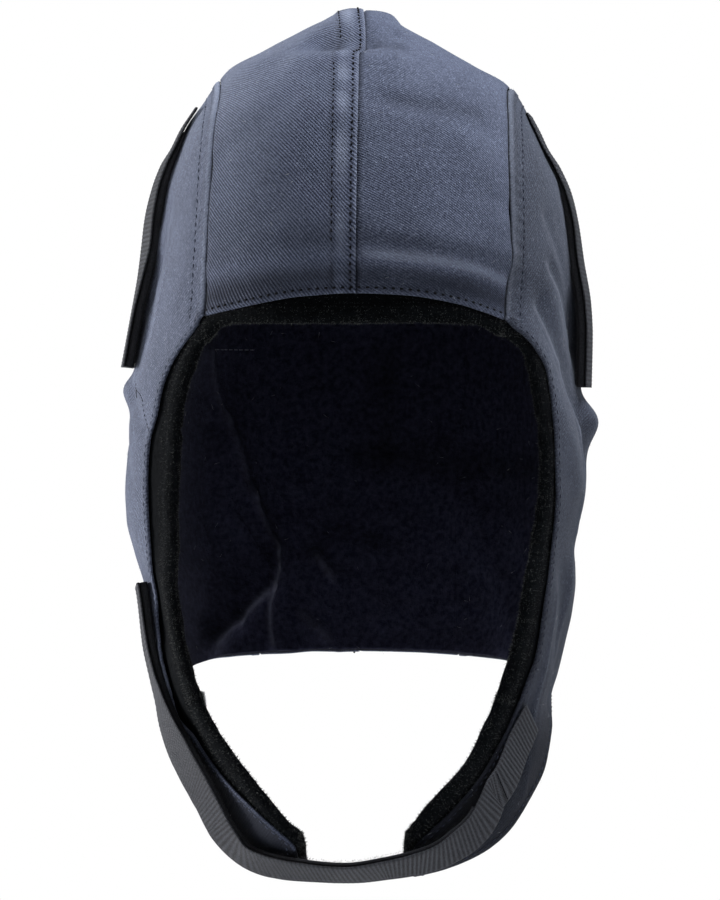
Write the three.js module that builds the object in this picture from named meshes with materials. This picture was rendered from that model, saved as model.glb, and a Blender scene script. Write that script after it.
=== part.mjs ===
import * as THREE from "three";

// Winter hood worn under a hard hat: a twill shell of four panels over a dark fleece lining, two short
// webbing straps that hold it to the helmet, and a chin strap that passes under the tips of its two flaps.
// Millimetres. +Z is up, the face opening looks towards -Y, and +X is on the right seen from the front.
// The origin is where the top of the wearer's head carries the hood, inside the crown.

const shellThickness = 1.2;
const liningThickness = 2.6;
const layerGap = 0.4;
const seamGap = 0.7;
const lapRise = 0.6;
const rimRollRise = 3.2;
const rimRollWidth = 16;
const headCentreHeight = -110;
const napeHeight = -228;

const webbingThickness = 1.2;
const tapeThickness = 2.3;
const tapeGap = 0.35;
const helmetStrapWidth = 20;
const chinStrapWidth = 20;

const twill = "#66708a";
const fleece = "#1d1f2a";
const webbingGrey = "#5a5c60";
const tapeBlack = "#15171b";
const labelWhite = "#d9dbdc";

// Level sections of the outside, from the peak of the crown down to the flaps. left and right are the half
// widths, front and back the Y of the two ends, middle the Y of the widest place. square is the power of
// the curve between them, 2 being an ellipse.
const sections = [
  { height: 13.2, left: 0.6, right: 0.6, front: -0.6, back: 2, middle: 0, square: 2 },
  { height: 12.6, left: 6.5, right: 8.5, front: -9, back: 14, middle: 0, square: 2 },
  { height: 11, left: 10.5, right: 12.5, front: -16, back: 23, middle: 0, square: 2 },
  { height: 7.9, left: 15.5, right: 15, front: -24, back: 33, middle: 1, square: 2 },
  { height: 2.4, left: 26.6, right: 25.2, front: -35, back: 46, middle: 2, square: 2 },
  { height: -3.2, left: 37.7, right: 35.5, front: -44.5, back: 57, middle: 3, square: 2 },
  { height: -8.7, left: 48.1, right: 45.1, front: -53, back: 66, middle: 4, square: 2.1 },
  { height: -14.3, left: 52.9, right: 54.6, front: -60, back: 71, middle: 5, square: 2.2 },
  { height: -19.8, left: 56.6, right: 59.2, front: -66, back: 78, middle: 5, square: 2.25 },
  { height: -30.9, left: 64, right: 65.1, front: -75, back: 88, middle: 6, square: 2.3 },
  { height: -42, left: 68, right: 70, front: -81, back: 95, middle: 6, square: 2.3 },
  { height: -53, left: 70.6, right: 74.2, front: -85.5, back: 100, middle: 6, square: 2.3 },
  { height: -74, left: 73.2, right: 77, front: -91.5, back: 107, middle: 6, square: 2.3 },
  { height: -82, left: 74.4, right: 78.4, front: -90, back: 109, middle: 6, square: 2.3 },
  { height: -92, left: 77, right: 80, front: -87, back: 110, middle: 5, square: 2.25 },
  { height: -108.6, left: 79.4, right: 80.4, front: -92, back: 111.5, middle: 3, square: 2.2 },
  { height: -119, left: 81.4, right: 80.6, front: -95, back: 111.5, middle: 1, square: 2.2 },
  { height: -127, left: 83.2, right: 81, front: -97, back: 111, middle: 0, square: 2.2 },
  { height: -138, left: 84.5, right: 82.8, front: -98, back: 110.5, middle: 0, square: 2.2 },
  { height: -152.5, left: 85.5, right: 83.8, front: -99, back: 109, middle: 0, square: 2.2 },
  { height: -164, left: 86.2, right: 83.6, front: -99.5, back: 107.5, middle: 0, square: 2.2 },
  { height: -175, left: 85.5, right: 82, front: -100, back: 105.5, middle: 0, square: 2.2 },
  { height: -186, left: 82.5, right: 80.3, front: -100, back: 103, middle: 0, square: 2.25 },
  { height: -197, left: 79, right: 80.3, front: -100, back: 100, middle: 0, square: 2.3 },
  { height: -219.6, left: 75.8, right: 76.4, front: -99, back: 93, middle: -2, square: 2.3 },
  { height: -230.7, left: 73.6, right: 73.8, front: -98.5, back: 89, middle: -3, square: 2.2 },
  { height: -241.8, left: 71.8, right: 71.4, front: -100, back: 85, middle: -4, square: 2.05 },
  { height: -253, left: 71.6, right: 71.8, front: -102, back: 80, middle: -4, square: 1.9 },
  { height: -264, left: 71, right: 72, front: -103, back: 74, middle: -5, square: 1.8 },
  { height: -280, left: 68.6, right: 70, front: -99, back: 60, middle: -6, square: 1.7 },
  { height: -290, left: 65, right: 67, front: -89, back: 48, middle: -6, square: 1.7 },
  { height: -296, left: 62, right: 64, front: -76, back: 40, middle: -6, square: 1.7 },
  { height: -304, left: 57, right: 59, front: -48, back: 30, middle: -6, square: 1.7 },
  { height: -312, left: 48, right: 50, front: -24, back: 18, middle: -6, square: 1.7 },
];

// Face edge of the side panels, from the temple to the flap's tip, and then the tip itself.
const faceEdge = [
  { height: -99, left: 54.6, right: 51.5 },
  { height: -102.5, left: 56.5, right: 52.4 },
  { height: -108, left: 59.8, right: 58.6 },
  { height: -114, left: 63.8, right: 63.3 },
  { height: -120, left: 67.2, right: 66.4 },
  { height: -127, left: 69.6, right: 67.5 },
  { height: -136, left: 71.5, right: 68.8 },
  { height: -145, left: 74.2, right: 69.9 },
  { height: -166, left: 75.3, right: 70.5 },
  { height: -185, left: 74.7, right: 69 },
  { height: -204, left: 74.4, right: 66.2 },
  { height: -221, left: 72.2, right: 63.4 },
  { height: -234.5, left: 68.4, right: 58.6 },
  { height: -246, left: 65, right: 54.2 },
  { height: -254, left: 59, right: 50.2 },
  { height: -262, left: 51.7, right: 45.6 },
  { height: -269, left: 44, right: 39.8 },
  { height: -275, left: 36.5, right: 33.8 },
  { height: -283, left: 27.2, right: 24.8 },
  { height: -288.5, left: 22, right: 20 },
  { height: -304, left: 19.5, right: 17.5 },
];

// Edge of the lining, which shows as a soft rim inside the face edge.
const rimEdge = [
  { height: -107.8, left: 53.2, right: 52.2 },
  { height: -110, left: 55, right: 56 },
  { height: -112, left: 56.4, right: 58.4 },
  { height: -117, left: 58.7, right: 61.2 },
  { height: -127, left: 62.2, right: 63.3 },
  { height: -136, left: 63.9, right: 65 },
  { height: -152, left: 64.6, right: 66.7 },
  { height: -166, left: 65.6, right: 66 },
  { height: -182, left: 65.8, right: 63.4 },
  { height: -197, left: 67.6, right: 60.2 },
  { height: -214, left: 65.2, right: 57.2 },
  { height: -229, left: 61, right: 53.2 },
  { height: -240, left: 57, right: 49.2 },
  { height: -249, left: 51.5, right: 44.9 },
  { height: -258, left: 44, right: 40 },
  { height: -268.5, left: 35.3, right: 30 },
  { height: -279, left: 26.2, right: 20.9 },
  { height: -288, left: 18.9, right: 16.4 },
  { height: -304, left: 17, right: 15 },
];

// Lower edge of the hood by its turn from the front, 0 at the chin and 180 at the nape.
const hem = [
  { turn: 16, height: -302.6 },
  { turn: 27, height: -300.6 },
  { turn: 35, height: -298.2 },
  { turn: 43, height: -294.6 },
  { turn: 51, height: -288.6 },
  { turn: 57.5, height: -281.8 },
  { turn: 66, height: -269.6 },
  { turn: 73, height: -259 },
  { turn: 78, height: -252 },
  { turn: 90, height: -242.5 },
  { turn: 102, height: -236.5 },
  { turn: 118, height: -232 },
  { turn: 138, height: -229.6 },
  { turn: 180, height: -228 },
];

// Half width of the middle band at each sweep, 0 level in front, 90 straight up, 180 level behind.
const bandEdge = [
  { sweep: 0, left: 54.8, right: 51.8 },
  { sweep: 12, left: 54.2, right: 53 },
  { sweep: 30, left: 53, right: 54.8 },
  { sweep: 50, left: 52, right: 54 },
  { sweep: 70, left: 50.8, right: 54.2 },
  { sweep: 90, left: 51.5, right: 56.5 },
  { sweep: 115, left: 50.5, right: 53 },
  { sweep: 150, left: 47.5, right: 49 },
  { sweep: 190, left: 43, right: 43.5 },
  { sweep: 235, left: 39, right: 39.5 },
];

// Forehead edge of the middle band by its place from left to right.
const foreheadEdge = [
  { across: -60, height: -100.8 },
  { across: -38, height: -96.4 },
  { across: -20, height: -93.9 },
  { across: 0, height: -93.2 },
  { across: 15, height: -93.9 },
  { across: 32, height: -96.5 },
  { across: 58, height: -104.5 },
];

// Lower edge of the middle band's lining, which shows as a soft rim below the forehead edge.
const foreheadRim = [
  { across: -55, height: -110 },
  { across: -50, height: -104.6 },
  { across: -44, height: -103.6 },
  { across: 0, height: -103.4 },
  { across: 43, height: -104 },
  { across: 52.5, height: -107.9 },
];

// Heights where the middle band's seam ends at the face edge and, in the lining, at the rim.
const edgeCorner = { [-1]: -99.9, [1]: -102.4 };
const rimCorner = { [-1]: -110, [1]: -107.8 };

// Rows and columns of the panels. A sweep is the angle round the head's centre, 0 level in front and 90
// straight up. The gap in the heights stands for the corner of the face edge.
const crownSweeps = [
  15.5, 20.5, 26, 33, 40, 47, 54, 60, 66, 71, 75.5, 80, 85, 90, 96, 102.5, 110, 118, 127, 137, 147, 158,
  169, 180, 191, 201,
];
const crownHemRows = 5;
const crownColumnsLeft = [0, 0.16, 0.2, 0.36, 0.52, 0.68, 0.84, 1];
const crownColumnsRight = [0, 0.17, 0.34, 0.5, 0.67, 0.84, 1];
const panelHeights = [
  -19, -24, -31, -41, -53, -67, -80, -91, null, -108, -115, -121, -128, -136, -146, -158, -171, -184, -197,
  -209,
];
const sideColumns = [0, 0.03, 0.09, 0.17, 0.26, 0.35, 0.45, 0.56, 0.67, 0.78, 0.89, 1];

// The flap takes the first columns of its side panel. Its rows run from a height on the face edge to a turn
// on the hem, down to the tip.
const flapColumns = 5;
const flapTop = -237;
const flapHemTurn = 84;
const rowsToHem = 4;
const flapRows = [
  { edgeHeight: -243.5, hemTurn: 78.5 },
  { edgeHeight: -250, hemTurn: 73 },
  { edgeHeight: -256.5, hemTurn: 67.5 },
  { edgeHeight: -262.5, hemTurn: 62 },
  { edgeHeight: -268, hemTurn: 56.5 },
  { edgeHeight: -273.5, hemTurn: 51 },
  { edgeHeight: -279, hemTurn: 45 },
  { edgeHeight: -284.5, hemTurn: 37 },
  { edgeHeight: -288.6, hemTurn: 22.5 },
];
const rimLead = 3.5;

// Folds that run through both layers, each between two places given by turn and height. rise stands out
// from the cloth, or is a groove where it is negative, and fades over spread.
const folds = [
  { name: "crown dent, left", turn: -27, height: -0.8, toTurn: 5, toHeight: -0.4, rise: -2.2, spread: 3.4 },
  { name: "crown dent, right", turn: 8, height: 2, toTurn: 30, toHeight: 2.5, rise: -2, spread: 4 },
  { name: "ridge below dents", turn: -25, height: -9.5, toTurn: 15, toHeight: -9.5, rise: 0.9, spread: 4.5 },
  { name: "brow ridge, left", turn: -40, height: -79, toTurn: -6, toHeight: -76, rise: 0.7, spread: 6 },
  { name: "brow ridge, right", turn: 6, height: -75.5, toTurn: 40, toHeight: -80, rise: 1.4, spread: 5 },
  { name: "right crease, upper", turn: 62, height: -84, toTurn: 80, toHeight: -112, rise: -1.6, spread: 5 },
  { name: "right crease, long", turn: 54, height: -98, toTurn: 84, toHeight: -150, rise: -2.2, spread: 6 },
  { name: "right ridge beside it", turn: 48, height: -112, toTurn: 70, toHeight: -160, rise: 1, spread: 7 },
  { name: "right crease, ear", turn: 80, height: -146, toTurn: 84, toHeight: -184, rise: -1.6, spread: 6 },
  { name: "left ear bulge", turn: -84, height: -127, toTurn: -96, toHeight: -127, rise: 3.6, spread: 5.5 },
  { name: "right ear bulge", turn: 84, height: -139, toTurn: 98, toHeight: -139, rise: 5.4, spread: 8 },
  { name: "left ear tuck", turn: -86, height: -124, toTurn: -64, toHeight: -141, rise: -1.8, spread: 5 },
  { name: "left cheek fold", turn: -80, height: -176, toTurn: -70, toHeight: -214, rise: -1.4, spread: 7 },
  { name: "right cheek fold", turn: 66, height: -196, toTurn: 76, toHeight: -238, rise: -1.6, spread: 7 },
  { name: "chin pull, right", turn: 54, height: -254, toTurn: 38, toHeight: -284, rise: -2.5, spread: 9 },
  { name: "chin pull, left", turn: -60, height: -254, toTurn: -44, toHeight: -282, rise: -2.5, spread: 9 },
  { name: "nape fold, left", turn: -142, height: -150, toTurn: -156, toHeight: -196, rise: -3, spread: 9 },
  { name: "nape fold, low", turn: -154, height: -198, toTurn: -128, toHeight: -226, rise: -2.6, spread: 8 },
  { name: "nape fold, right", turn: 150, height: -168, toTurn: 128, toHeight: -218, rise: -2.4, spread: 9 },
  { name: "nape fold, mid", turn: -174, height: -186, toTurn: -168, toHeight: -226, rise: -2, spread: 7 },
  { name: "slack, right", turn: 165, height: -58, toTurn: 128, toHeight: -96, rise: -2.2, spread: 11 },
  { name: "slack, left", turn: -160, height: -72, toTurn: -124, toHeight: -112, rise: -2, spread: 11 },
];

// Helmet straps, by the distance from the centre plane of the outer face at its front and rear edge.
const helmetStrapLeft = [
  { height: -24, front: 59.2, rear: 61.1 },
  { height: -31, front: 63.6, rear: 65.8 },
  { height: -38, front: 67, rear: 69.3 },
  { height: -44, front: 70, rear: 73 },
  { height: -53, front: 73.2, rear: 76.4 },
  { height: -64, front: 75.2, rear: 79 },
  { height: -74, front: 76.2, rear: 80.2 },
  { height: -84, front: 78.6, rear: 81.4 },
  { height: -98, front: 82.1, rear: 83.8 },
  { height: -118.5, front: 85.9, rear: 87.6 },
];
const helmetStrapRight = [
  { height: -26, front: 62, rear: 64.4 },
  { height: -32, front: 65, rear: 67.6 },
  { height: -38, front: 67.8, rear: 70.4 },
  { height: -45, front: 71.9, rear: 74.9 },
  { height: -55, front: 76.4, rear: 79.2 },
  { height: -66, front: 79.2, rear: 81.7 },
  { height: -79, front: 80.6, rear: 83.6 },
  { height: -96, front: 83.4, rear: 86.3 },
  { height: -106, front: 84, rear: 86.8 },
  { height: -126, front: 83.6, rear: 86.4 },
];
const helmetStrapFront = -24;
const helmetTapeTop = -60;

// Chin strap, from the end sewn on the right flap, under the tips, to its free end beside the left cheek.
// Each row is a place of its front edge, and lift is the space between its inner face and the cloth.
const chinStrap = [
  { turn: 53.6, height: -239, lift: 1 },
  { turn: 48, height: -250, lift: 1 },
  { turn: 43, height: -261, lift: 1 },
  { turn: 40, height: -265, lift: 1.5 },
  { turn: 36.5, height: -273, lift: 3.2 },
  { turn: 33, height: -277.5, lift: 3.4 },
  { turn: 26.5, height: -282.5, lift: 3.4 },
  { turn: 19, height: -285.4, lift: 3.4 },
  { turn: 9, height: -288, lift: 3.4 },
  { turn: -4, height: -290, lift: 3.4 },
  { turn: -12, height: -290, lift: 3.4 },
  { turn: -19, height: -289.3, lift: 3.4 },
  { turn: -26.5, height: -288, lift: 3.6 },
  { turn: -32, height: -286.7, lift: 3.8 },
  { turn: -38, height: -284, lift: 4 },
  { turn: -43, height: -275, lift: 4 },
  { turn: -48, height: -264, lift: 4 },
  { turn: -55, height: -253, lift: 3.8 },
  { turn: -63, height: -243.5, lift: 3.6 },
  { turn: -70, height: -231, lift: 3.6 },
  { turn: -73, height: -213, lift: 3.6 },
  { turn: -74, height: -196.5, lift: 3.6 },
];
const chinStrapSewnTo = 2;

const careLabel = { turn: -66, height: -243, width: 13, length: 16, thickness: 0.7, stand: 2.8 };

const clamp = (value, low, high) => Math.min(Math.max(value, low), high);
const radians = THREE.MathUtils.degToRad;
const power = (value, exponent) => Math.sign(value) * Math.abs(value) ** exponent;

// A curve through one column of a table that never swings past its rows.
function curveOf(rows, by, column) {
  const sorted = [...rows].sort((a, b) => a[by] - b[by]);
  const x = sorted.map((row) => row[by]);
  const y = sorted.map((row) => row[column]);
  const last = x.length - 1;
  const step = x.slice(1).map((value, k) => value - x[k]);
  const rate = step.map((width, k) => (y[k + 1] - y[k]) / width);
  const slope = x.map((_, k) => {
    if (k === 0) return rate[0];
    if (k === last) return rate[last - 1];
    if (rate[k - 1] * rate[k] <= 0) return 0;
    const before = 2 * step[k] + step[k - 1];
    const after = step[k] + 2 * step[k - 1];
    return (before + after) / (before / rate[k - 1] + after / rate[k]);
  });
  return (value) => {
    const at = clamp(value, x[0], x[last]);
    let k = 0;
    while (k < last - 1 && at > x[k + 1]) k += 1;
    const t = (at - x[k]) / step[k];
    const rest = 1 - t;
    return (
      (1 + 2 * t) * rest * rest * y[k] +
      t * rest * rest * step[k] * slope[k] +
      t * t * (3 - 2 * t) * y[k + 1] +
      t * t * (t - 1) * step[k] * slope[k + 1]
    );
  };
}

const sectionCurves = {};
for (const column of ["left", "right", "front", "back", "middle", "square"]) {
  sectionCurves[column] = curveOf(sections, "height", column);
}

function sectionAt(height) {
  const section = {};
  for (const column in sectionCurves) section[column] = sectionCurves[column](height);
  return section;
}

const peakHeight = sections[0].height;

// Less than 0 inside the outer surface, 0 on it and more outside.
function beyond(x, y, z) {
  if (z >= peakHeight) return 1 + z - peakHeight;
  const s = sectionAt(z);
  const across = Math.abs(x) / (x < 0 ? s.left : s.right);
  const along = Math.abs(y - s.middle) / (y < s.middle ? s.middle - s.front : s.back - s.middle);
  return (across ** s.square + along ** s.square) ** (1 / s.square) - 1;
}

// Point of the outer surface at a turn in degrees, 0 in front and 90 on the right, and a height.
function placeAt(turn, height) {
  const s = sectionAt(height);
  const sine = Math.sin(radians(turn));
  const cosine = Math.cos(radians(turn));
  const x = (sine < 0 ? s.left : s.right) * power(sine, 2 / s.square);
  const reach = cosine > 0 ? s.middle - s.front : s.back - s.middle;
  return new THREE.Vector3(x, s.middle - reach * power(cosine, 2 / s.square), height);
}

function turnOf(x, y, z) {
  const s = sectionAt(z);
  const across = Math.abs(x) / (x < 0 ? s.left : s.right);
  const along = Math.abs(y - s.middle) / (y < s.middle ? s.middle - s.front : s.back - s.middle);
  const quarter = THREE.MathUtils.radToDeg(Math.atan2(across ** (s.square / 2), along ** (s.square / 2)));
  return Math.sign(x || 1) * (y > s.middle ? 180 - quarter : quarter);
}

// Turn of the outer surface, on the front half, where it is this far from the centre plane.
function frontTurn(x, height) {
  const s = sectionAt(height);
  const share = Math.min(Math.abs(x) / (x < 0 ? s.left : s.right), 1);
  return Math.sign(x) * THREE.MathUtils.radToDeg(Math.asin(share ** (s.square / 2)));
}

function outwardAt(point) {
  const step = 0.05;
  const { x, y, z } = point;
  return new THREE.Vector3(
    beyond(x + step, y, z) - beyond(x - step, y, z),
    beyond(x, y + step, z) - beyond(x, y - step, z),
    beyond(x, y, z + step) - beyond(x, y, z - step),
  ).normalize();
}

// How far the folds move the cloth outwards at a place.
function reliefAt(point) {
  const section = sectionAt(point.z);
  const radius = (section.left + section.right) / 2;
  const turn = turnOf(point.x, point.y, point.z);
  let relief = 0;
  for (const fold of folds) {
    let away = turn - fold.turn;
    if (away > 180) away -= 360;
    if (away < -180) away += 360;
    const across = radians(away) * radius;
    const up = point.z - fold.height;
    const runAcross = radians(fold.toTurn - fold.turn) * radius;
    const runUp = fold.toHeight - fold.height;
    const share = clamp((across * runAcross + up * runUp) / (runAcross ** 2 + runUp ** 2), 0, 1);
    const distance = Math.hypot(across - share * runAcross, up - share * runUp);
    relief += fold.rise * Math.exp(-((distance / fold.spread) ** 2));
  }
  return relief;
}

// Point of the outer surface in the plane at x, on the line from the head's centre at a sweep in degrees.
function hitAt(x, sweep) {
  const y = -Math.cos(radians(sweep));
  const z = Math.sin(radians(sweep));
  let near = 0;
  let far = 260;
  for (let k = 0; k < 40; k += 1) {
    const reach = (near + far) / 2;
    if (beyond(x, y * reach, headCentreHeight + z * reach) < 0) near = reach;
    else far = reach;
  }
  return new THREE.Vector3(x, y * near, headCentreHeight + z * near);
}

// One closed body between an outer and an inner grid of points. A row may be shorter than the one above it.
// The quads of its first columns, as many as turned says, are split along their other diagonal.
function sheet(name, colour, outerGrid, innerGrid, turned = 0) {
  const starts = [];
  let count = 0;
  for (const row of outerGrid) {
    starts.push(count);
    count += row.length;
  }
  const triangles = [];
  for (let i = 0; i < outerGrid.length - 1; i += 1) {
    for (let j = 0; j < outerGrid[i + 1].length - 1; j += 1) {
      const above = starts[i] + j;
      const below = starts[i + 1] + j;
      if (j < turned) triangles.push([below, below + 1, above + 1], [below, above + 1, above]);
      else triangles.push([above, below, below + 1], [above, below + 1, above + 1]);
    }
  }
  const sides = triangles.flatMap(([a, b, c]) => [[a, b], [b, c], [c, a]]);
  const known = new Set(sides.map(([a, b]) => `${a} ${b}`));
  const index = [];
  for (const [a, b, c] of triangles) index.push(a, b, c, a + count, c + count, b + count);
  for (const [a, b] of sides) {
    if (!known.has(`${b} ${a}`)) index.push(b, a, a + count, b, a + count, b + count);
  }
  const positions = [outerGrid, innerGrid].flat(2).flatMap((point) => point.toArray());
  return bodyOf(name, colour, 0.95, positions, index);
}

function signedVolume(positions, index) {
  const corner = (k) => new THREE.Vector3().fromArray(positions, 3 * index[k]);
  let volume = 0;
  for (let k = 0; k < index.length; k += 3) {
    volume += corner(k).dot(corner(k + 1).cross(corner(k + 2))) / 6;
  }
  return volume;
}

function bodyOf(name, colour, roughness, positions, index) {
  const faces = signedVolume(positions, index) < 0 ? [...index].reverse() : index;
  const geometry = new THREE.BufferGeometry();
  geometry.setAttribute("position", new THREE.Float32BufferAttribute(positions, 3));
  geometry.setIndex(faces);
  geometry.computeVertexNormals();
  const material = new THREE.MeshStandardMaterial({ color: colour, roughness, metalness: 0 });
  const mesh = new THREE.Mesh(geometry, material);
  mesh.name = name;
  return mesh;
}

// A node of a panel's grid: a place of the folded outer surface, and the way out of it.
function nodeAt(point) {
  const outward = outwardAt(point);
  return { place: point.clone().addScaledVector(outward, reliefAt(point)), outward };
}

function between(a, b, share) {
  return { place: a.place.clone().lerp(b.place, share), outward: a.outward.clone().lerp(b.outward, share) };
}

// The layer of a grid at a depth inside the outer surface. A depth below 0 is outside it.
function layer(grid, depthAt) {
  return grid.map((row, i) =>
    row.map((node, j) => node.place.clone().addScaledVector(node.outward, -depthAt(node, i, j))),
  );
}

const bandEdgeCurves = {
  [-1]: curveOf(bandEdge, "sweep", "left"),
  [1]: curveOf(bandEdge, "sweep", "right"),
};
const foreheadCurve = curveOf(foreheadEdge, "across", "height");
const foreheadRimCurve = curveOf(foreheadRim, "across", "height");
const hemCurve = curveOf(hem, "turn", "height");

// Place on the front of the outer surface at this distance from the centre plane and this height.
const frontPlace = (x, height) => placeAt(frontTurn(x, height), height);

function backHemPlace(x) {
  const behind = (height) => 180 - Math.abs(frontTurn(x, height));
  const height = hemCurve(behind(napeHeight));
  return placeAt(Math.sign(x) * behind(height), height);
}

function sweepOf(place) {
  const sweep = THREE.MathUtils.radToDeg(Math.atan2(place.z - headCentreHeight, -place.y));
  return sweep < 0 ? sweep + 360 : sweep;
}

// Nodes of one half of the middle band, from the forehead edge to the hem, and from the centre seam out.
function crownGrid(side, columnShares) {
  const xAt = (sweep, share) => side * (seamGap / 2 + share * (bandEdgeCurves[side](sweep) - seamGap));
  const rows = [columnShares.map((share) => xAt(8, share)).map((x) => frontPlace(x, foreheadCurve(x)))];
  for (const sweep of crownSweeps) rows.push(columnShares.map((share) => hitAt(xAt(sweep, share), sweep)));
  const lastSweep = crownSweeps[crownSweeps.length - 1];
  const hemPlaces = columnShares.map((share) => backHemPlace(xAt(235, share)));
  for (let k = 1; k < crownHemRows; k += 1) {
    rows.push(
      hemPlaces.map((place, j) => {
        const sweep = THREE.MathUtils.lerp(lastSweep, sweepOf(place), k / crownHemRows);
        return hitAt(xAt(sweep, columnShares[j]), sweep);
      }),
    );
  }
  rows.push(hemPlaces);
  return rows.map((row) => row.map(nodeAt));
}

// The seam between the middle band and a side panel, moved outwards by half of the seam's gap, read as the
// turn where it passes a height in front of its top and behind it.
function seamOf(side) {
  const points = [];
  for (let sweep = -20; sweep <= 240; sweep += 2) {
    points.push(hitAt(side * (bandEdgeCurves[side](sweep) + seamGap / 2), sweep));
  }
  const top = points.reduce((best, point, k) => (point.z > points[best].z ? k : best), 0);
  const turnFrom = (way, height) => {
    let k = top;
    while (points[k + 2 * way] && points[k + way].z > height) k += way;
    const share = (points[k].z - height) / (points[k].z - points[k + way].z);
    const place = points[k].clone().lerp(points[k + way], share);
    return Math.abs(turnOf(place.x, place.y, height));
  };
  return {
    topHeight: points[top].z,
    frontTurn: (height) => turnFrom(-1, height),
    backTurn: (height) => turnFrom(1, height),
  };
}

// Nodes of a side panel. Its upper rows run from the band's seam or the face edge to the seam behind, level
// at first and then bent down to the hem. Below them shorter rows cross the flap, and the last is its tip.
function sideGrid(side, seam) {
  const edge = curveOf(faceEdge, "height", side < 0 ? "left" : "right");
  const frontAt = (height) => {
    if (height >= edgeCorner[side]) return seam.frontTurn(height);
    return Math.abs(frontTurn(side * edge(height), height));
  };
  const mix = (a, b, share) => ({
    turn: THREE.MathUtils.lerp(a.turn, b.turn, share),
    height: THREE.MathUtils.lerp(a.height, b.height, share),
  });
  const onFront = (height) => ({ turn: frontAt(height), height });
  const onSeam = (height) => ({ turn: seam.backTurn(height), height });
  const onHem = (turn) => ({ turn, height: hemCurve(turn) });
  const levels = [seam.topHeight - 0.3, ...panelHeights.map((height) => height ?? edgeCorner[side])];
  const rowAt = (height) => sideColumns.map((share) => mix(onFront(height), onSeam(height), share));
  const rows = levels.map(rowAt);

  const flapShare = sideColumns[flapColumns];
  const hemStart = onHem(flapHemTurn);
  const hemEnd = onHem(seam.backTurn(hemCurve(seam.backTurn(napeHeight))));
  const lastLevel = rows[rows.length - 1];
  for (let k = 1; k <= rowsToHem; k += 1) {
    rows.push(
      sideColumns.map((share, j) => {
        const low =
          j < flapColumns
            ? mix(onFront(flapTop), hemStart, share / flapShare)
            : onHem(mix(hemStart, hemEnd, (share - flapShare) / (1 - flapShare)).turn);
        const place = mix(lastLevel[j], low, k / rowsToHem);
        if (j === 0) return onFront(place.height);
        if (share === 1) return onSeam(place.height);
        return place;
      }),
    );
  }
  for (const { edgeHeight, hemTurn } of flapRows) {
    const shares = sideColumns.slice(0, flapColumns + 1);
    rows.push(shares.map((share) => mix(onFront(edgeHeight), onHem(hemTurn), share / flapShare)));
  }
  return {
    nodes: rows.map((row) => row.map(({ turn, height }) => nodeAt(placeAt(side * turn, height)))),
    frontHeights: rows.map((row) => row[0].height),
  };
}

// The same grid for the lining under a side panel, carried past the face edge and the tip to the rim.
function sideLiningGrid(side, shell) {
  const rim = curveOf(rimEdge, "height", side < 0 ? "left" : "right");
  const seamX = bandEdgeCurves[side](0) + seamGap / 2;
  const rimNode = (height) => {
    const x = height > rimCorner[side] ? seamX : rim(height);
    return nodeAt(frontPlace(side * x, height));
  };
  const rows = shell.nodes.map((row, i) => {
    const height = shell.frontHeights[i];
    if (height >= edgeCorner[side]) {
      return [row[0], between(row[0], row[1], 0.3), between(row[0], row[1], 0.6), ...row.slice(1)];
    }
    const edge = rimNode(height + rimLead * clamp((flapTop - height) / 30, 0, 1));
    return [edge, between(edge, row[0], 0.5), ...row];
  });
  const last = shell.nodes.length - 1;
  const tip = rows[last].map((node, j) => {
    const low = shell.nodes[last][flapColumns].place.z;
    return rimNode(THREE.MathUtils.lerp(shell.frontHeights[last], low, j / (rows[last].length - 1)));
  });
  return [...rows, tip];
}

// The grid of the middle band's lining: both halves of the band in one, carried down to the forehead's rim.
function crownLiningGrid(left, right) {
  const joined = left.map((row, i) => [
    ...row.slice(1).reverse(),
    between(row[0], right[i][0], 0.5),
    ...right[i].slice(1),
  ]);
  const edge = joined[0].map((node) => nodeAt(frontPlace(node.place.x, foreheadRimCurve(node.place.x))));
  return [edge, edge.map((node, j) => between(node, joined[0][j], 0.5)), ...joined];
}

// Extra thickness of the lining where it is padded along the face opening, rounded off at its very edge.
function rimRoll(node, rim) {
  const distance = Math.min(...rim.map((place) => place.distanceTo(node.place)));
  return rimRollRise * Math.sin(Math.PI * clamp(distance / rimRollWidth, 0, 1) ** 0.6);
}

// A flat ribbon between two rows of points, with its two faces apart by thickness.
function ribbon(name, colour, rows) {
  const positions = [];
  const index = [];
  for (const row of rows) {
    for (const corner of row) positions.push(...corner.toArray());
  }
  const quad = (a, b, c, d) => index.push(a, b, c, a, c, d);
  const last = rows.length - 1;
  for (let i = 0; i < 4 * last; i += 4) {
    quad(i, i + 1, i + 5, i + 4);
    quad(i + 1, i + 2, i + 6, i + 5);
    quad(i + 3, i + 7, i + 6, i + 2);
    quad(i + 3, i, i + 4, i + 7);
  }
  quad(3, 2, 1, 0);
  quad(4 * last, 4 * last + 1, 4 * last + 2, 4 * last + 3);
  return bodyOf(name, colour, 0.85, positions, index);
}

// The four corners of a ribbon at one station, from its outer face's two edges and its outward direction.
function ribbonRow(front, rear, outward, depth, thickness) {
  return [
    front.clone().addScaledVector(outward, -depth),
    rear.clone().addScaledVector(outward, -depth),
    rear.clone().addScaledVector(outward, -depth - thickness),
    front.clone().addScaledVector(outward, -depth - thickness),
  ];
}

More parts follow.
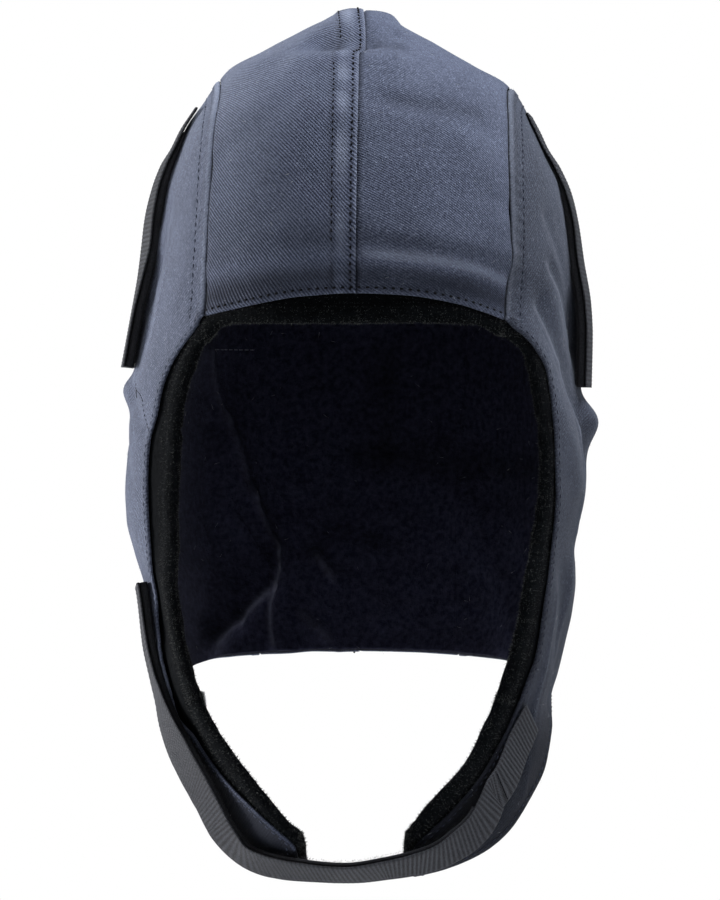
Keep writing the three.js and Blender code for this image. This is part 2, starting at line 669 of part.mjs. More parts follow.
function helmetStrap(side, rows) {
  const word = side < 0 ? "left" : "right";
  const frontCurve = curveOf(rows, "height", "front");
  const rearCurve = curveOf(rows, "height", "rear");
  const stations = [];
  for (let k = 0; k < rows.length - 1; k += 1) {
    stations.push(rows[k].height);
    if (k < rows.length - 2) stations.push((rows[k].height + rows[k + 1].height) / 2);
  }
  stations.push(rows[rows.length - 1].height);
  const edgesAt = (height) => {
    const front = frontCurve(height);
    const rear = rearCurve(height);
    const reach = Math.sqrt(helmetStrapWidth ** 2 - (rear - front) ** 2);
    return [
      new THREE.Vector3(side * front, helmetStrapFront, height),
      new THREE.Vector3(side * rear, helmetStrapFront + reach, height),
    ];
  };
  const outwardFor = (height) => {
    const [front, rear] = edgesAt(height);
    const [above] = edgesAt(height + 1);
    const [below] = edgesAt(height - 1);
    const outward = rear.sub(front).cross(above.sub(below)).normalize();
    return outward.x * side < 0 ? outward.negate() : outward;
  };
  const build = (name, colour, from, depth, thickness) => {
    const used = [from, ...stations.filter((height) => height < from)];
    const corners = used.map((height) => {
      const [front, rear] = edgesAt(height);
      return ribbonRow(front, rear, outwardFor(height), depth, thickness);
    });
    return ribbon(name, colour, corners);
  };
  return [
    build(`helmet_strap_${word}`, webbingGrey, rows[0].height, 0, webbingThickness),
    build(`strap_tape_${word}`, tapeBlack, helmetTapeTop, webbingThickness + tapeGap, tapeThickness),
  ];
}

function chinStrapPieces() {
  const route = chinStrap.map((row) => placeAt(row.turn, row.height));
  const along = new THREE.CatmullRomCurve3(route, false, "centripetal");
  const liftAt = (share) => {
    const place = share * (chinStrap.length - 1);
    const k = Math.min(Math.floor(place), chinStrap.length - 2);
    return THREE.MathUtils.lerp(chinStrap[k].lift, chinStrap[k + 1].lift, place - k);
  };
  const stationAt = (share) => {
    const base = along.getPoint(share);
    const outward = outwardAt(base);
    const tangent = along.getTangent(share);
    const across = new THREE.Vector3().crossVectors(outward, tangent).normalize();
    if (across.y < 0) across.negate();
    const rear = onSurface(base.clone().addScaledVector(across, chinStrapWidth));
    const middle = onSurface(base.clone().addScaledVector(across, chinStrapWidth / 2));
    const flat = rear.clone().sub(base).normalize();
    const faceOut = new THREE.Vector3().crossVectors(flat, tangent).normalize();
    if (faceOut.dot(outward) < 0) faceOut.negate();
    const bulge = Math.max(middle.clone().sub(base).dot(faceOut), 0);
    const relief = Math.max(reliefAt(base), reliefAt(rear), reliefAt(middle));
    const rise = bulge + relief + liftAt(share);
    const front = base.clone().addScaledVector(faceOut, rise + webbingThickness);
    return { front, rear: front.clone().addScaledVector(flat, chinStrapWidth), faceOut };
  };
  const build = (name, colour, from, depth, thickness) => {
    const steps = 2 * (chinStrap.length - 1);
    const corners = [];
    for (let k = 2 * from; k <= steps; k += 1) {
      const { front, rear, faceOut } = stationAt(k / steps);
      corners.push(ribbonRow(front, rear, faceOut, depth, thickness));
    }
    return ribbon(name, colour, corners);
  };
  return [
    build("chin_strap", webbingGrey, 0, 0, webbingThickness),
    build("chin_tape", tapeBlack, chinStrapSewnTo + 2, webbingThickness + tapeGap, tapeThickness),
  ];
}

// Nearest place of the outer surface, found by stepping along its outward direction.
function onSurface(point) {
  const place = point.clone();
  for (let k = 0; k < 12; k += 1) {
    const step = 0.05;
    const outward = outwardAt(place);
    const ahead = place.clone().addScaledVector(outward, step);
    const rate = (beyond(ahead.x, ahead.y, ahead.z) - beyond(place.x, place.y, place.z)) / step;
    place.addScaledVector(outward, -beyond(place.x, place.y, place.z) / rate);
  }
  return place;
}

// A bare slip that lies against the inside of the left lining.
function careLabelSlip() {
  const { turn, height, width, length, thickness, stand } = careLabel;
  const node = nodeAt(placeAt(turn, height));
  const up = new THREE.Vector3(0, 0, 1).projectOnPlane(node.outward).normalize();
  const along = new THREE.Vector3().crossVectors(up, node.outward);
  const material = new THREE.MeshStandardMaterial({ color: labelWhite, roughness: 0.7, metalness: 0 });
  const mesh = new THREE.Mesh(new THREE.BoxGeometry(thickness, length, width), material);
  mesh.name = "care_label";
  mesh.quaternion.setFromRotationMatrix(new THREE.Matrix4().makeBasis(node.outward, along, up));
  const depth = liningInnerDepth(node) + stand + thickness / 2;
  mesh.position.copy(node.place).addScaledVector(node.outward, -depth);
  return mesh;
}

const crownLeft = crownGrid(-1, crownColumnsLeft);
const crownRight = crownGrid(1, crownColumnsRight);
const crownLining = crownLiningGrid(crownLeft, crownRight);
const seams = { [-1]: seamOf(-1), [1]: seamOf(1) };
const sides = { [-1]: sideGrid(-1, seams[-1]), [1]: sideGrid(1, seams[1]) };
const sideLinings = {
  [-1]: sideLiningGrid(-1, sides[-1]),
  [1]: sideLiningGrid(1, sides[1]),
};

const rim = [...crownLining[0].map((node) => node.place)];
for (const side of [-1, 1]) {
  const grid = sideLinings[side];
  rim.push(...grid[grid.length - 1].map((node) => node.place));
  sides[side].frontHeights.forEach((height, i) => {
    if (height < rimCorner[side]) rim.push(grid[i][0].place);
  });
}
const liningOuterDepth = shellThickness + layerGap;
const liningInnerDepth = (node) => liningOuterDepth + liningThickness + rimRoll(node, rim);

function crownPanel(name, colour, grid, lapColumns) {
  const outer = layer(grid, (node, i, j) => (j < lapColumns ? -lapRise : 0));
  return sheet(name, colour, outer, layer(grid, () => shellThickness));
}

function sidePanel(name, colour, grid) {
  const outer = layer(grid, (node, i, j) => (j < 2 ? -lapRise : 0));
  return sheet(name, colour, outer, layer(grid, () => shellThickness));
}

function lining(name, grid, turned) {
  return sheet(name, fleece, layer(grid, () => liningOuterDepth), layer(grid, liningInnerDepth), turned);
}

const hood = new THREE.Group();
hood.add(
  crownPanel("crown_panel_left", twill, crownLeft, 2),
  crownPanel("crown_panel_right", twill, crownRight, 0),
  sidePanel("side_panel_left", twill, sides[-1].nodes),
  sidePanel("side_panel_right", twill, sides[1].nodes),
  lining("lining_crown", crownLining, crownColumnsLeft.length - 1),
  lining("lining_left", sideLinings[-1], 0),
  lining("lining_right", sideLinings[1], 0),
  ...helmetStrap(-1, helmetStrapLeft),
  ...helmetStrap(1, helmetStrapRight),
  ...chinStrapPieces(),
  careLabelSlip(),
);

export default hood;
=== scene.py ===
import math

import bpy
import numpy as np
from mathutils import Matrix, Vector, kdtree


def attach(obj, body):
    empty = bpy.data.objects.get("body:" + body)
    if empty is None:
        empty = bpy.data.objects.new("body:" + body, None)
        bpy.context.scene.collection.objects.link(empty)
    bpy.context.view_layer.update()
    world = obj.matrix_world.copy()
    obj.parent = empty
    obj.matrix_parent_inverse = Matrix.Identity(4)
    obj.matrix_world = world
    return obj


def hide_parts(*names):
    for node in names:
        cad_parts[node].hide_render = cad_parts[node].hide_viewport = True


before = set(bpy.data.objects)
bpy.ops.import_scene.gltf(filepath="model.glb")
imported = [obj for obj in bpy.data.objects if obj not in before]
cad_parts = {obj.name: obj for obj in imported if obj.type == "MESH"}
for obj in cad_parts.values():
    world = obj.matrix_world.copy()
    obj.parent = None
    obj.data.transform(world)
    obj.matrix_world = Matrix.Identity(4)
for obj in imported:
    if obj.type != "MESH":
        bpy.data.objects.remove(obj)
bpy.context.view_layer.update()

# Winter hood worn under a hard hat: twill shell, fleece lining with a padded rim, webbing straps.
# The tables and sizes are the part's own, in millimetres, and points go to Blender in metres.
METRES = 0.001
SIDES = {-1: "left", 1: "right"}
SHELL_THICKNESS = 1.2
LINING_THICKNESS = 2.6
LAYER_GAP = 0.4
SEAM_GAP = 0.7
LINING_GAP = 0.1
LAP_RISE = 0.6
LAP_WIDTH = 8.5
EDGE_ROUNDING = 0.45
RIM_ROLL_RISE = 3.2
RIM_ROLL_WIDTH = 16
ROLL_SHARE = 0.6
RIM_DRAW = 1.0
RIM_LEAD = 3.5
RIM_HALF = 1.9
HEAD_CENTRE_HEIGHT = -110
NAPE_HEIGHT = -228
UNROLLED_RADIUS = 76
FLAP_TOP = -237
FLAP_HEM_TURN = 84
FLAP_SHARE = 0.35
LAST_LEVEL = -209
EDGE_CORNER = {-1: -99.9, 1: -102.4}
RIM_CORNER = {-1: -110, 1: -107.8}
WEBBING_THICKNESS = 1.2
WEBBING_RIB = 1.7
STRAP_WIDTH = 20
STRAP_FRONT = -24
CHIN_WIDTH = 17.2
TAPE_THICKNESS = 2.3
TAPE_GAP = 0.35
TAPE_DEPTH = WEBBING_THICKNESS + TAPE_GAP
TAPE_INSET = 0.04
TAPE_SINK = 0.3
TAPE_TOP = -60
# The ribs across each layer: their rise and their pitch.
HELMET_RIBS = (0.13, 1.4)
CHIN_RIBS = (0.12, WEBBING_RIB)
TAPE_RIBS = (0.1, 1.1)
# The steps of the grids, and the rough lengths that they run over.
STEP = 1.25
LINING_STEP = 1.45
CROWN_ACROSS = 52
CROWN_RUN = 330
SIDE_ACROSS = 150
BEND_RUN = 30
FLAP_RUN = 62

# Stitch rows: their pitch, and how far each lies from its edge.
STITCH_PITCH = 3.0
TACK_PITCH = 1.9
LOOP_PITCH = 1.2
CHIN_TACK_PITCH = 1.1
CENTRE_EDGE_ROW = 1.5
CENTRE_LAP_ROW = 7.9
BROW_ROW = 1.9
NAPE_ROW = 4.6
SEAM_ROW = 7.2
FACE_ROW = 1.9
HEM_ROW = 3.4
EAR_LOOP = {"turn": -74.6, "height": -128.6, "radius": 1.35}
CHIN_TACK = {"turn": 46.1, "height": -266.5}
LINING_DASH = {"from": -149.4, "to": -130.7, "height": -109.5}

# Loose fibres, and painted shade on the side panels' low cloth and flaps.
RIM_HAIRS = 9000
RIM_HAIR_REACH = 10
LINT_LIFT = 0.1
LOW_SHADE = {-1: 0.12, 1: 0.42}
FLAP_SHADE = {-1: 1.0, 1: 0.45}

# The camera, the floor and the lights, in metres and watts.
CAMERA_PLACE = (0.00074, -1.5, -0.149)
VIEW_HALF_WIDTH = 0.1332
WORLD_STRENGTH = 0.16
FLOOR_HEIGHT = -0.56
FLOOR_REACH = 1.9
LIGHT_TARGET = (0, 0, -0.14)
# Columns: name, place, size, power, colour.
LIGHTS = [
    ("key_left", (-1.62, 0.5, 0.02), 0.8, 118, (1, 0.985, 0.96)),
    ("top", (0.42, -0.02, 1.32), 0.9, 96, (0.97, 0.985, 1)),
    ("fill_right", (1.7, 0.35, 0.4), 0.9, 18, (0.96, 0.98, 1)),
    ("front", (0.1, -2.2, 0.35), 1.0, 8, (1, 1, 1)),
]

# Columns: height, left, right, front, back, middle, square.
SECTIONS = [
    (13.2, 0.6, 0.6, -0.6, 2, 0, 2),
    (12.6, 6.5, 8.5, -9, 14, 0, 2),
    (11, 10.5, 12.5, -16, 23, 0, 2),
    (7.9, 15.5, 15, -24, 33, 1, 2),
    (2.4, 26.6, 25.2, -35, 46, 2, 2),
    (-3.2, 37.7, 35.5, -44.5, 57, 3, 2),
    (-8.7, 48.1, 45.1, -53, 66, 4, 2.1),
    (-14.3, 52.9, 54.6, -60, 71, 5, 2.2),
    (-19.8, 56.6, 59.2, -66, 78, 5, 2.25),
    (-30.9, 64, 65.1, -75, 88, 6, 2.3),
    (-42, 68, 70, -81, 95, 6, 2.3),
    (-53, 70.6, 74.2, -85.5, 100, 6, 2.3),
    (-74, 73.2, 77, -91.5, 107, 6, 2.3),
    (-82, 74.4, 78.4, -90, 109, 6, 2.3),
    (-92, 77, 80, -87, 110, 5, 2.25),
    (-108.6, 79.4, 80.4, -92, 111.5, 3, 2.2),
    (-119, 81.4, 80.6, -95, 111.5, 1, 2.2),
    (-127, 83.2, 81, -97, 111, 0, 2.2),
    (-138, 84.5, 82.8, -98, 110.5, 0, 2.2),
    (-152.5, 85.5, 83.8, -99, 109, 0, 2.2),
    (-164, 86.2, 83.6, -99.5, 107.5, 0, 2.2),
    (-175, 85.5, 82, -100, 105.5, 0, 2.2),
    (-186, 82.5, 80.3, -100, 103, 0, 2.25),
    (-197, 79, 80.3, -100, 100, 0, 2.3),
    (-219.6, 75.8, 76.4, -99, 93, -2, 2.3),
    (-230.7, 73.6, 73.8, -98.5, 89, -3, 2.2),
    (-241.8, 71.8, 71.4, -100, 85, -4, 2.05),
    (-253, 71.6, 71.8, -102, 80, -4, 1.9),
    (-264, 71, 72, -103, 74, -5, 1.8),
    (-280, 68.6, 70, -99, 60, -6, 1.7),
    (-290, 65, 67, -89, 48, -6, 1.7),
    (-296, 62, 64, -76, 40, -6, 1.7),
    (-304, 57, 59, -48, 30, -6, 1.7),
    (-312, 48, 50, -24, 18, -6, 1.7),
]
# Columns: height, left, right.
FACE_EDGE = [
    (-99, 54.6, 51.5),
    (-102.5, 56.5, 52.4),
    (-108, 59.8, 58.6),
    (-114, 63.8, 63.3),
    (-120, 67.2, 66.4),
    (-127, 69.6, 67.5),
    (-136, 71.5, 68.8),
    (-145, 74.2, 69.9),
    (-166, 75.3, 70.5),
    (-185, 74.7, 69),
    (-204, 74.4, 66.2),
    (-221, 72.2, 63.4),
    (-234.5, 68.4, 58.6),
    (-246, 65, 54.2),
    (-254, 59, 50.2),
    (-262, 51.7, 45.6),
    (-269, 44, 39.8),
    (-275, 36.5, 33.8),
    (-283, 27.2, 24.8),
    (-288.5, 22, 20),
    (-304, 19.5, 17.5),
]
# Columns: height, left, right.
RIM_EDGE = [
    (-107.8, 53.2, 52.2),
    (-110, 55, 56),
    (-112, 56.4, 58.4),
    (-117, 58.7, 61.2),
    (-127, 62.2, 63.3),
    (-136, 63.9, 65),
    (-152, 64.6, 66.7),
    (-166, 65.6, 66),
    (-182, 65.8, 63.4),
    (-197, 67.6, 60.2),
    (-214, 65.2, 57.2),
    (-229, 61, 53.2),
    (-240, 57, 49.2),
    (-249, 51.5, 44.9),
    (-258, 44, 40),
    (-268.5, 35.3, 30),
    (-279, 26.2, 20.9),
    (-288, 18.9, 16.4),
    (-304, 17, 15),
]
# Columns: turn, height.
HEM = [
    (16, -302.6),
    (27, -300.6),
    (35, -298.2),
    (43, -294.6),
    (51, -288.6),
    (57.5, -281.8),
    (66, -269.6),
    (73, -259),
    (78, -252),
    (90, -242.5),
    (102, -236.5),
    (118, -232),
    (138, -229.6),
    (180, -228),
]
# Columns: sweep, left, right.
BAND_EDGE = [
    (0, 54.8, 51.8),
    (12, 54.2, 53),
    (30, 53, 54.8),
    (50, 52, 54),
    (70, 50.8, 54.2),
    (90, 51.5, 56.5),
    (115, 50.5, 53),
    (150, 47.5, 49),
    (190, 43, 43.5),
    (235, 39, 39.5),
]
# Columns: across, height.
FOREHEAD_EDGE = [
    (-60, -100.8),
    (-38, -96.4),
    (-20, -93.9),
    (0, -93.2),
    (15, -93.9),
    (32, -96.5),
    (58, -104.5),
]
# Columns: across, height.
FOREHEAD_RIM = [
    (-55, -110),
    (-50, -104.6),
    (-44, -103.6),
    (0, -103.4),
    (43, -104),
    (52.5, -107.9),
]
# Columns: edge height, hem turn.
FLAP_ROWS = [
    (-243.5, 78.5),
    (-250, 73),
    (-256.5, 67.5),
    (-262.5, 62),
    (-268, 56.5),
    (-273.5, 51),
    (-279, 45),
    (-284.5, 37),
    (-288.6, 22.5),
]
# Columns: turn, height, to turn, to height, rise, spread.
FOLDS = [
    (-27, -0.8, 5, -0.4, -2.2, 3.4),
    (8, 2, 30, 2.5, -2, 4),
    (-25, -9.5, 15, -9.5, 0.9, 4.5),
    (-40, -79, -6, -76, 0.7, 6),
    (6, -75.5, 40, -80, 1.4, 5),
    (62, -84, 80, -112, -1.6, 5),
    (54, -98, 84, -150, -2.2, 6),
    (48, -112, 70, -160, 1, 7),
    (80, -146, 84, -184, -1.6, 6),
    (-84, -127, -96, -127, 3.6, 5.5),
    (84, -139, 98, -139, 5.4, 8),
    (-86, -124, -64, -141, -1.8, 5),
    (-80, -176, -70, -214, -1.4, 7),
    (66, -196, 76, -238, -1.6, 7),
    (54, -254, 38, -284, -2.5, 9),
    (-60, -254, -44, -282, -2.5, 9),
    (-142, -150, -156, -196, -3, 9),
    (-154, -198, -128, -226, -2.6, 8),
    (150, -168, 128, -218, -2.4, 9),
    (-174, -186, -168, -226, -2, 7),
    (165, -58, 128, -96, -2.2, 11),
    (-160, -72, -124, -112, -2, 11),
]
# Columns: turn, height, to turn, to height, rise, spread.
DENTS = [
    (-22, -2.8, -2, -4.2, -1.3, 2.6),
    (5, -1.2, 24, -2.6, -1.1, 2.6),
    (8, -25, 38, -30, -0.7, 3),
]
# Columns: turn, height, to turn, to height, rise, spread.
BROW = [
    (-58, -86, -12, -82, 0.5, 2.6),
    (8, -82, 50, -86, 0.8, 2.6),
    (-20, -24, -46, -50, -0.5, 5),
    (10, -26, 40, -36, -0.6, 4),
    (34, -60, 58, -72, -0.5, 4),
    (-52, -40, -44, -70, 0.5, 6),
]
# Columns: turn, height, to turn, to height, rise, spread.
CREASES = [
    (57.8, -83.5, 76.4, -109.6, 0.5, 1.5),
    (51.2, -97.7, 63.6, -117.4, 0.5, 1.5),
    (63.6, -117.4, 77, -152.3, 0.55, 1.5),
    (72.3, -138.1, 75.4, -179.5, 0.5, 1.5),
    (74, -186, 70, -222, 0.35, 1.5),
    (62, -201.5, 59.5, -250, 0.6, 1.5),
    (59.1, -254.3, 58.5, -271.9, 0.4, 1.5),
    (-66, -84, -71, -112, 0.35, 1.4),
    (-74, -96, -80, -124, 0.4, 1.4),
    (-82, -60, -86, -96, 0.4, 1.5),
]
# Columns: turn, height, to turn, to height, rise, spread.
SIDE_FOLDS = {
    -1: [
        (-70, -60, -74, -96, -0.7, 3.2),
        (-76, -70, -82, -108, 0.5, 4),
        (-88, -140, -70, -160, -0.6, 4),
        (-78, -200, -66, -230, 0.6, 5),
        (-118, -120, -128, -180, -0.9, 8),
        (-82, -52, -88, -112, 1.7, 11),
    ],
    1: [
        (62, -66, 76, -98, -0.8, 3.4),
        (70, -60, 86, -104, 0.6, 4),
        (74, -196, 70, -232, 0.8, 4),
        (64, -228, 60, -262, 0.7, 4),
        (118, -120, 128, -180, -0.9, 8),
        (82, -54, 88, -118, 1.7, 11),
    ],
}
# Columns: turn, height, to turn, to height, rise, spread.
NAPE_FOLDS = [
    (-129.8, -110, -141, -137, -1.6, 3.2),
    (-141, -137, -150.5, -167.4, -1.9, 3.4),
    (-150.5, -167.4, -157, -189, -2.3, 3.4),
    (-157, -189, -154.1, -205.2, -2.4, 3.2),
    (-154.1, -205.2, -139.5, -217.6, -2.4, 3.2),
    (-139.5, -217.6, -125.5, -227, -2, 3.4),
    (-154.1, -206, -153.8, -226.4, -1.8, 2.8),
    (-140.9, -168.5, -153.9, -198.7, -1.5, 3.4),
    (-136.3, -140, -137, -191.8, 1.6, 4),
    (-137, -191.8, -128.1, -214.5, 1.3, 3.6),
    (-169.7, -191.2, -173.9, -200.3, -1.6, 2.6),
    (-162.6, -214.5, -172.7, -224.7, -1.3, 2.6),
    (177.6, -185.8, 175.4, -218.6, -1.2, 3),
    (177, -106, 178, -178, 2.2, 7),
    (-176, -150, -171, -186, 1.6, 5),
    (158, -150, 166, -200, -1.2, 8),
    (-63, -142.6, -49, -141.6, 1.3, 1.5),
]
# Painted highlights along the lining's fold ridges where pale is above zero, and painted shade in its folds
# where it is below. Columns: turn, height, to turn, to height, pale, spread.
NAPE_PAINTED_LIGHT_AND_SHADE = [
    (-150.5, -167.4, -157, -187, 0.3, 1.5),
    (-157, -187, -157, -197.5, 0.7, 1.3),
    (-157, -197.5, -154.1, -205.2, 0.9, 1.3),
    (-154.1, -205.2, -139.5, -217.6, 0.9, 1.3),
    (-139.5, -217.6, -127, -226.4, 0.6, 1.4),
    (-154.3, -206, -153.9, -226.4, 0.7, 1.2),
    (-129.8, -110, -141, -137, 0.25, 1.6),
    (-141, -137, -150.5, -167.4, 0.22, 2),
    (-169.7, -191.2, -173.9, -200.3, 0.4, 1.4),
    (-165, -214.5, -172.7, -224.7, 0.3, 1.5),
    (173.6, -112, 173.6, -150, -0.4, 5),
    (178.5, -152, -179, -180, -0.6, 6),
]
# Columns: height, shift.
SEAM_PATH = [
    (-400, 0),
    (-120, -1.5),
    (-60, -1.1),
    (-20, -0.4),
    (-7, -0.1),
    (-4.6, 1.5),
    (-2, 2.2),
    (4, 2.1),
    (9, 1.7),
    (14, 1.2),
]
# Columns: across, drop.
BROW_DROP = [
    (-80, 0.6),
    (-56, 2),
    (0, 1.4),
    (56, 0.2),
    (80, 0),
]
# Columns: height, front, rear.
STRAP_EDGES = {
    -1: [
        (-24, 59.2, 61.1),
        (-31, 63.6, 65.8),
        (-38, 67, 69.3),
        (-44, 70, 73),
        (-53, 73.2, 76.4),
        (-64, 75.2, 79),
        (-74, 76.2, 80.2),
        (-84, 78.6, 81.4),
        (-98, 82.1, 83.8),
        (-118.5, 85.9, 87.6),
    ],
    1: [
        (-26, 62, 64.4),
        (-32, 65, 67.6),
        (-38, 67.8, 70.4),
        (-45, 71.9, 74.9),
        (-55, 76.4, 79.2),
        (-66, 79.2, 81.7),
        (-79, 80.6, 83.6),
        (-96, 83.4, 86.3),
        (-106, 84, 86.8),
        (-126, 83.6, 86.4),
    ],
}
# Columns: turn, height, lift.
CHIN_STRAP = [
    (53.6, -239, 1),
    (48, -250, 1),
    (43, -261, 1),
    (40, -265, 1.5),
    (36.5, -273, 3.2),
    (33, -277.5, 3.4),
    (26.5, -282.5, 3.4),
    (19, -285.4, 3.4),
    (9, -288, 3.4),
    (-4, -290, 3.4),
    (-12, -290, 3.4),
    (-19, -289.3, 3.4),
    (-26.5, -288, 3.6),
    (-32, -286.7, 3.8),
    (-38, -284, 4),
    (-43, -275, 4),
    (-48, -264, 4),
    (-55, -253, 3.8),
    (-63, -243.5, 3.6),
    (-70, -231, 3.6),
    (-73, -213, 3.6),
    (-74, -196.5, 3.6),
]
# Columns: row, nearer.
CHIN_NEARER = [
    (0, 0),
    (12, 0),
    (14, 0.5),
    (16, 1),
    (21, 1.3),
]
# Columns: turn, height.
EAR_TACK = [
    (-77.5, -124.4),
    (-76.6, -126.4),
    (-72.5, -127.4),
    (-68.4, -128.9),
    (-65.8, -131),
    (-65, -134),
    (-64.4, -137),
    (-63.4, -139.4),
    (-62, -141.3),
]
# Columns: edge, middle, depth of a stitch row's groove.
CROWN_ROWS = {
    -1: [
        ("centre", CENTRE_EDGE_ROW, 0.3),
        ("centre", CENTRE_LAP_ROW, 0.38),
        ("brow", BROW_ROW, 0.35),
        ("nape", NAPE_ROW, 0.3),
    ],
    1: [
        ("brow", BROW_ROW, 0.35),
        ("nape", NAPE_ROW, 0.3),
    ],
}
SIDE_ROWS = [
    ("seam", 2.6, 0.3),
    ("seam", SEAM_ROW, 0.22),
    ("face", FACE_ROW, 0.32),
    ("hem", HEM_ROW, 0.32),
]
# Columns: edge, middle, spread, tone of a paler or darker band.
CROWN_TONES = {
    -1: [
        ("centre", 4.5, 2.4, 0.24),
        ("centre", 0.2, 0.5, 0.2),
        ("centre", 1.6, 0.6, -0.3),
        ("centre", 8.0, 0.8, -0.4),
    ],
    1: [
        # Painted shadow along the right panel's edge under the left lap.
        ("centre", 0, 1.2, -0.7),
    ],
}
BOTH_CROWN_TONES = [
    ("brow", 0.3, 0.7, 0.22),
    # Painted shade under the brow's painted highlight.
    ("brow", 6, 3.5, -0.42),
    # Painted shadow along the side seams, under the side panels' raised edges.
    ("seam", 0, 1.5, -0.9),
]
SIDE_TONES = [
    ("seam", 0.5, 0.8, 0.3),
    ("seam", 2.8, 0.7, -0.3),
    ("seam", SEAM_ROW, 0.8, -0.12),
    ("face", 0.4, 0.8, 0.2),
    ("hem", 0.4, 0.8, 0.15),
    ("hem", HEM_ROW, 0.6, -0.3),
]
# Columns: across, through, of a strap's section from its selvedge to near the middle, as shares.
SELVEDGE = [
    (0.012, 0.2),
    (0.04, 0.03),
    (0.1, 0),
    (0.25, 0),
    (0.4, 0),
]
# Columns: along, width, rise of a stitch's thread, as shares of its length and radius.
STITCH_RINGS = [
    (-0.5, 0.35, -0.5),
    (-0.36, 0.85, -0.1),
    (0, 1, 0.25),
    (0.36, 0.85, -0.1),
    (0.5, 0.35, -0.5),
]


def curve_of(table, column, by=0):
    """A curve through one column of a table that never swings past its rows."""
    rows = sorted(table, key=lambda row: row[by])
    x = np.array([row[by] for row in rows], float)
    y = np.array([row[column] for row in rows], float)
    step = np.diff(x)
    rate = np.diff(y) / step
    slope = np.zeros(len(x))
    slope[0], slope[-1] = rate[0], rate[-1]
    for k in range(1, len(x) - 1):
        if rate[k - 1] * rate[k] > 0:
            before = 2 * step[k] + step[k - 1]
            after = step[k] + 2 * step[k - 1]
            slope[k] = (before + after) / (before / rate[k - 1] + after / rate[k])

    def value(at):
        at = np.clip(at, x[0], x[-1])
        k = np.clip(np.searchsorted(x, at) - 1, 0, len(x) - 2)
        t = (at - x[k]) / step[k]
        rest = 1 - t
        return (
            (1 + 2 * t) * rest**2 * y[k]
            + t * rest**2 * step[k] * slope[k]
            + t * t * (3 - 2 * t) * y[k + 1]
            + t * t * (t - 1) * step[k] * slope[k + 1]
        )

    return value


SECTION_CURVES = [curve_of(SECTIONS, column) for column in range(1, 7)]
PEAK = SECTIONS[0][0]


def section_at(height):
    return [curve(height) for curve in SECTION_CURVES]


def signed_power(value, exponent):
    return np.sign(value) * np.abs(value) ** exponent


def shares_of(x, y, z):
    left, right, front, back, middle, square = section_at(z)
    across = np.abs(x) / np.where(x < 0, left, right)
    along = np.abs(y - middle) / np.where(y < middle, middle - front, back - middle)
    return across, along, middle, square


def beyond(x, y, z):
    """Less than 0 inside the outer surface, 0 on it and more outside."""
    across, along, _, square = shares_of(x, y, z)
    inside = (across**square + along**square) ** (1 / square) - 1
    return np.where(z >= PEAK, 1 + z - PEAK, inside)


def place_at(turn, height):
    left, right, front, back, middle, square = section_at(height)
    sine, cosine = np.sin(np.radians(turn)), np.cos(np.radians(turn))
    x = np.where(sine < 0, left, right) * signed_power(sine, 2 / square)
    reach = np.where(cosine > 0, middle - front, back - middle)
    y = middle - reach * signed_power(cosine, 2 / square)
    return np.stack([x, y, height + 0 * x], axis=-1)


def turn_of(points):
    x, y, z = np.moveaxis(points, -1, 0)
    across, along, middle, square = shares_of(x, y, z)
    quarter = np.degrees(np.arctan2(across ** (square / 2), along ** (square / 2)))
    return np.where(x < 0, -1, 1) * np.where(y > middle, 180 - quarter, quarter)


def front_turn(x, height):
    left, right, _, _, _, square = section_at(height)
    share = np.minimum(np.abs(x) / np.where(x < 0, left, right), 1)
    return np.sign(x) * np.degrees(np.arcsin(share ** (square / 2)))


def outward_at(points):
    step = 0.05
    x, y, z = np.moveaxis(points, -1, 0)
    slope = np.stack(
        [
            beyond(x + step, y, z) - beyond(x - step, y, z),
            beyond(x, y + step, z) - beyond(x, y - step, z),
            beyond(x, y, z + step) - beyond(x, y, z - step),
        ],
        axis=-1,
    )
    return unit(slope)


def unit(vectors):
    return vectors / np.maximum(np.linalg.norm(vectors, axis=-1, keepdims=True), 1e-9)


def folds_at(points, folds):
    """How far these folds move the cloth outwards."""
    left, right = section_at(points[..., 2])[:2]
    radius = (left + right) / 2
    turn = turn_of(points)
    relief = np.zeros(points.shape[:-1])
    for fold_turn, height, to_turn, to_height, rise, spread in folds:
        away = (turn - fold_turn + 180) % 360 - 180
        across = np.radians(away) * radius
        up = points[..., 2] - height
        run_across = np.radians(to_turn - fold_turn) * radius
        run_up = to_height - height
        share = (across * run_across + up * run_up) / (run_across**2 + run_up**2)
        share = np.clip(share, 0, 1)
        distance = np.hypot(across - share * run_across, up - share * run_up)
        relief += rise * np.exp(-((distance / spread) ** 2))
    return relief


def on_surface(points):
    place = points.copy()
    for _ in range(12):
        step = 0.05
        outward = outward_at(place)
        ahead = place + outward * step
        here = beyond(*np.moveaxis(place, -1, 0))
        rate = (beyond(*np.moveaxis(ahead, -1, 0)) - here) / step
        place = place - outward * (here / rate)[..., None]
    return place


def hit_at(x, sweep):
    """Point of the outer surface in the plane at x, at a sweep in degrees round the head's centre."""
    x, sweep = np.broadcast_arrays(np.asarray(x, float), np.asarray(sweep, float))
    y, z = -np.cos(np.radians(sweep)), np.sin(np.radians(sweep))
    near, far = np.zeros(x.shape), np.full(x.shape, 260.0)
    for _ in range(34):
        reach = (near + far) / 2
        inside = beyond(x, y * reach, HEAD_CENTRE_HEIGHT + z * reach) < 0
        near = np.where(inside, reach, near)
        far = np.where(inside, far, reach)
    return np.stack([x, y * near, HEAD_CENTRE_HEIGHT + z * near], axis=-1)


def sweep_of(points):
    sweep = np.degrees(np.arctan2(points[..., 2] - HEAD_CENTRE_HEIGHT, -points[..., 1]))
    return np.where(sweep < 0, sweep + 360, sweep)


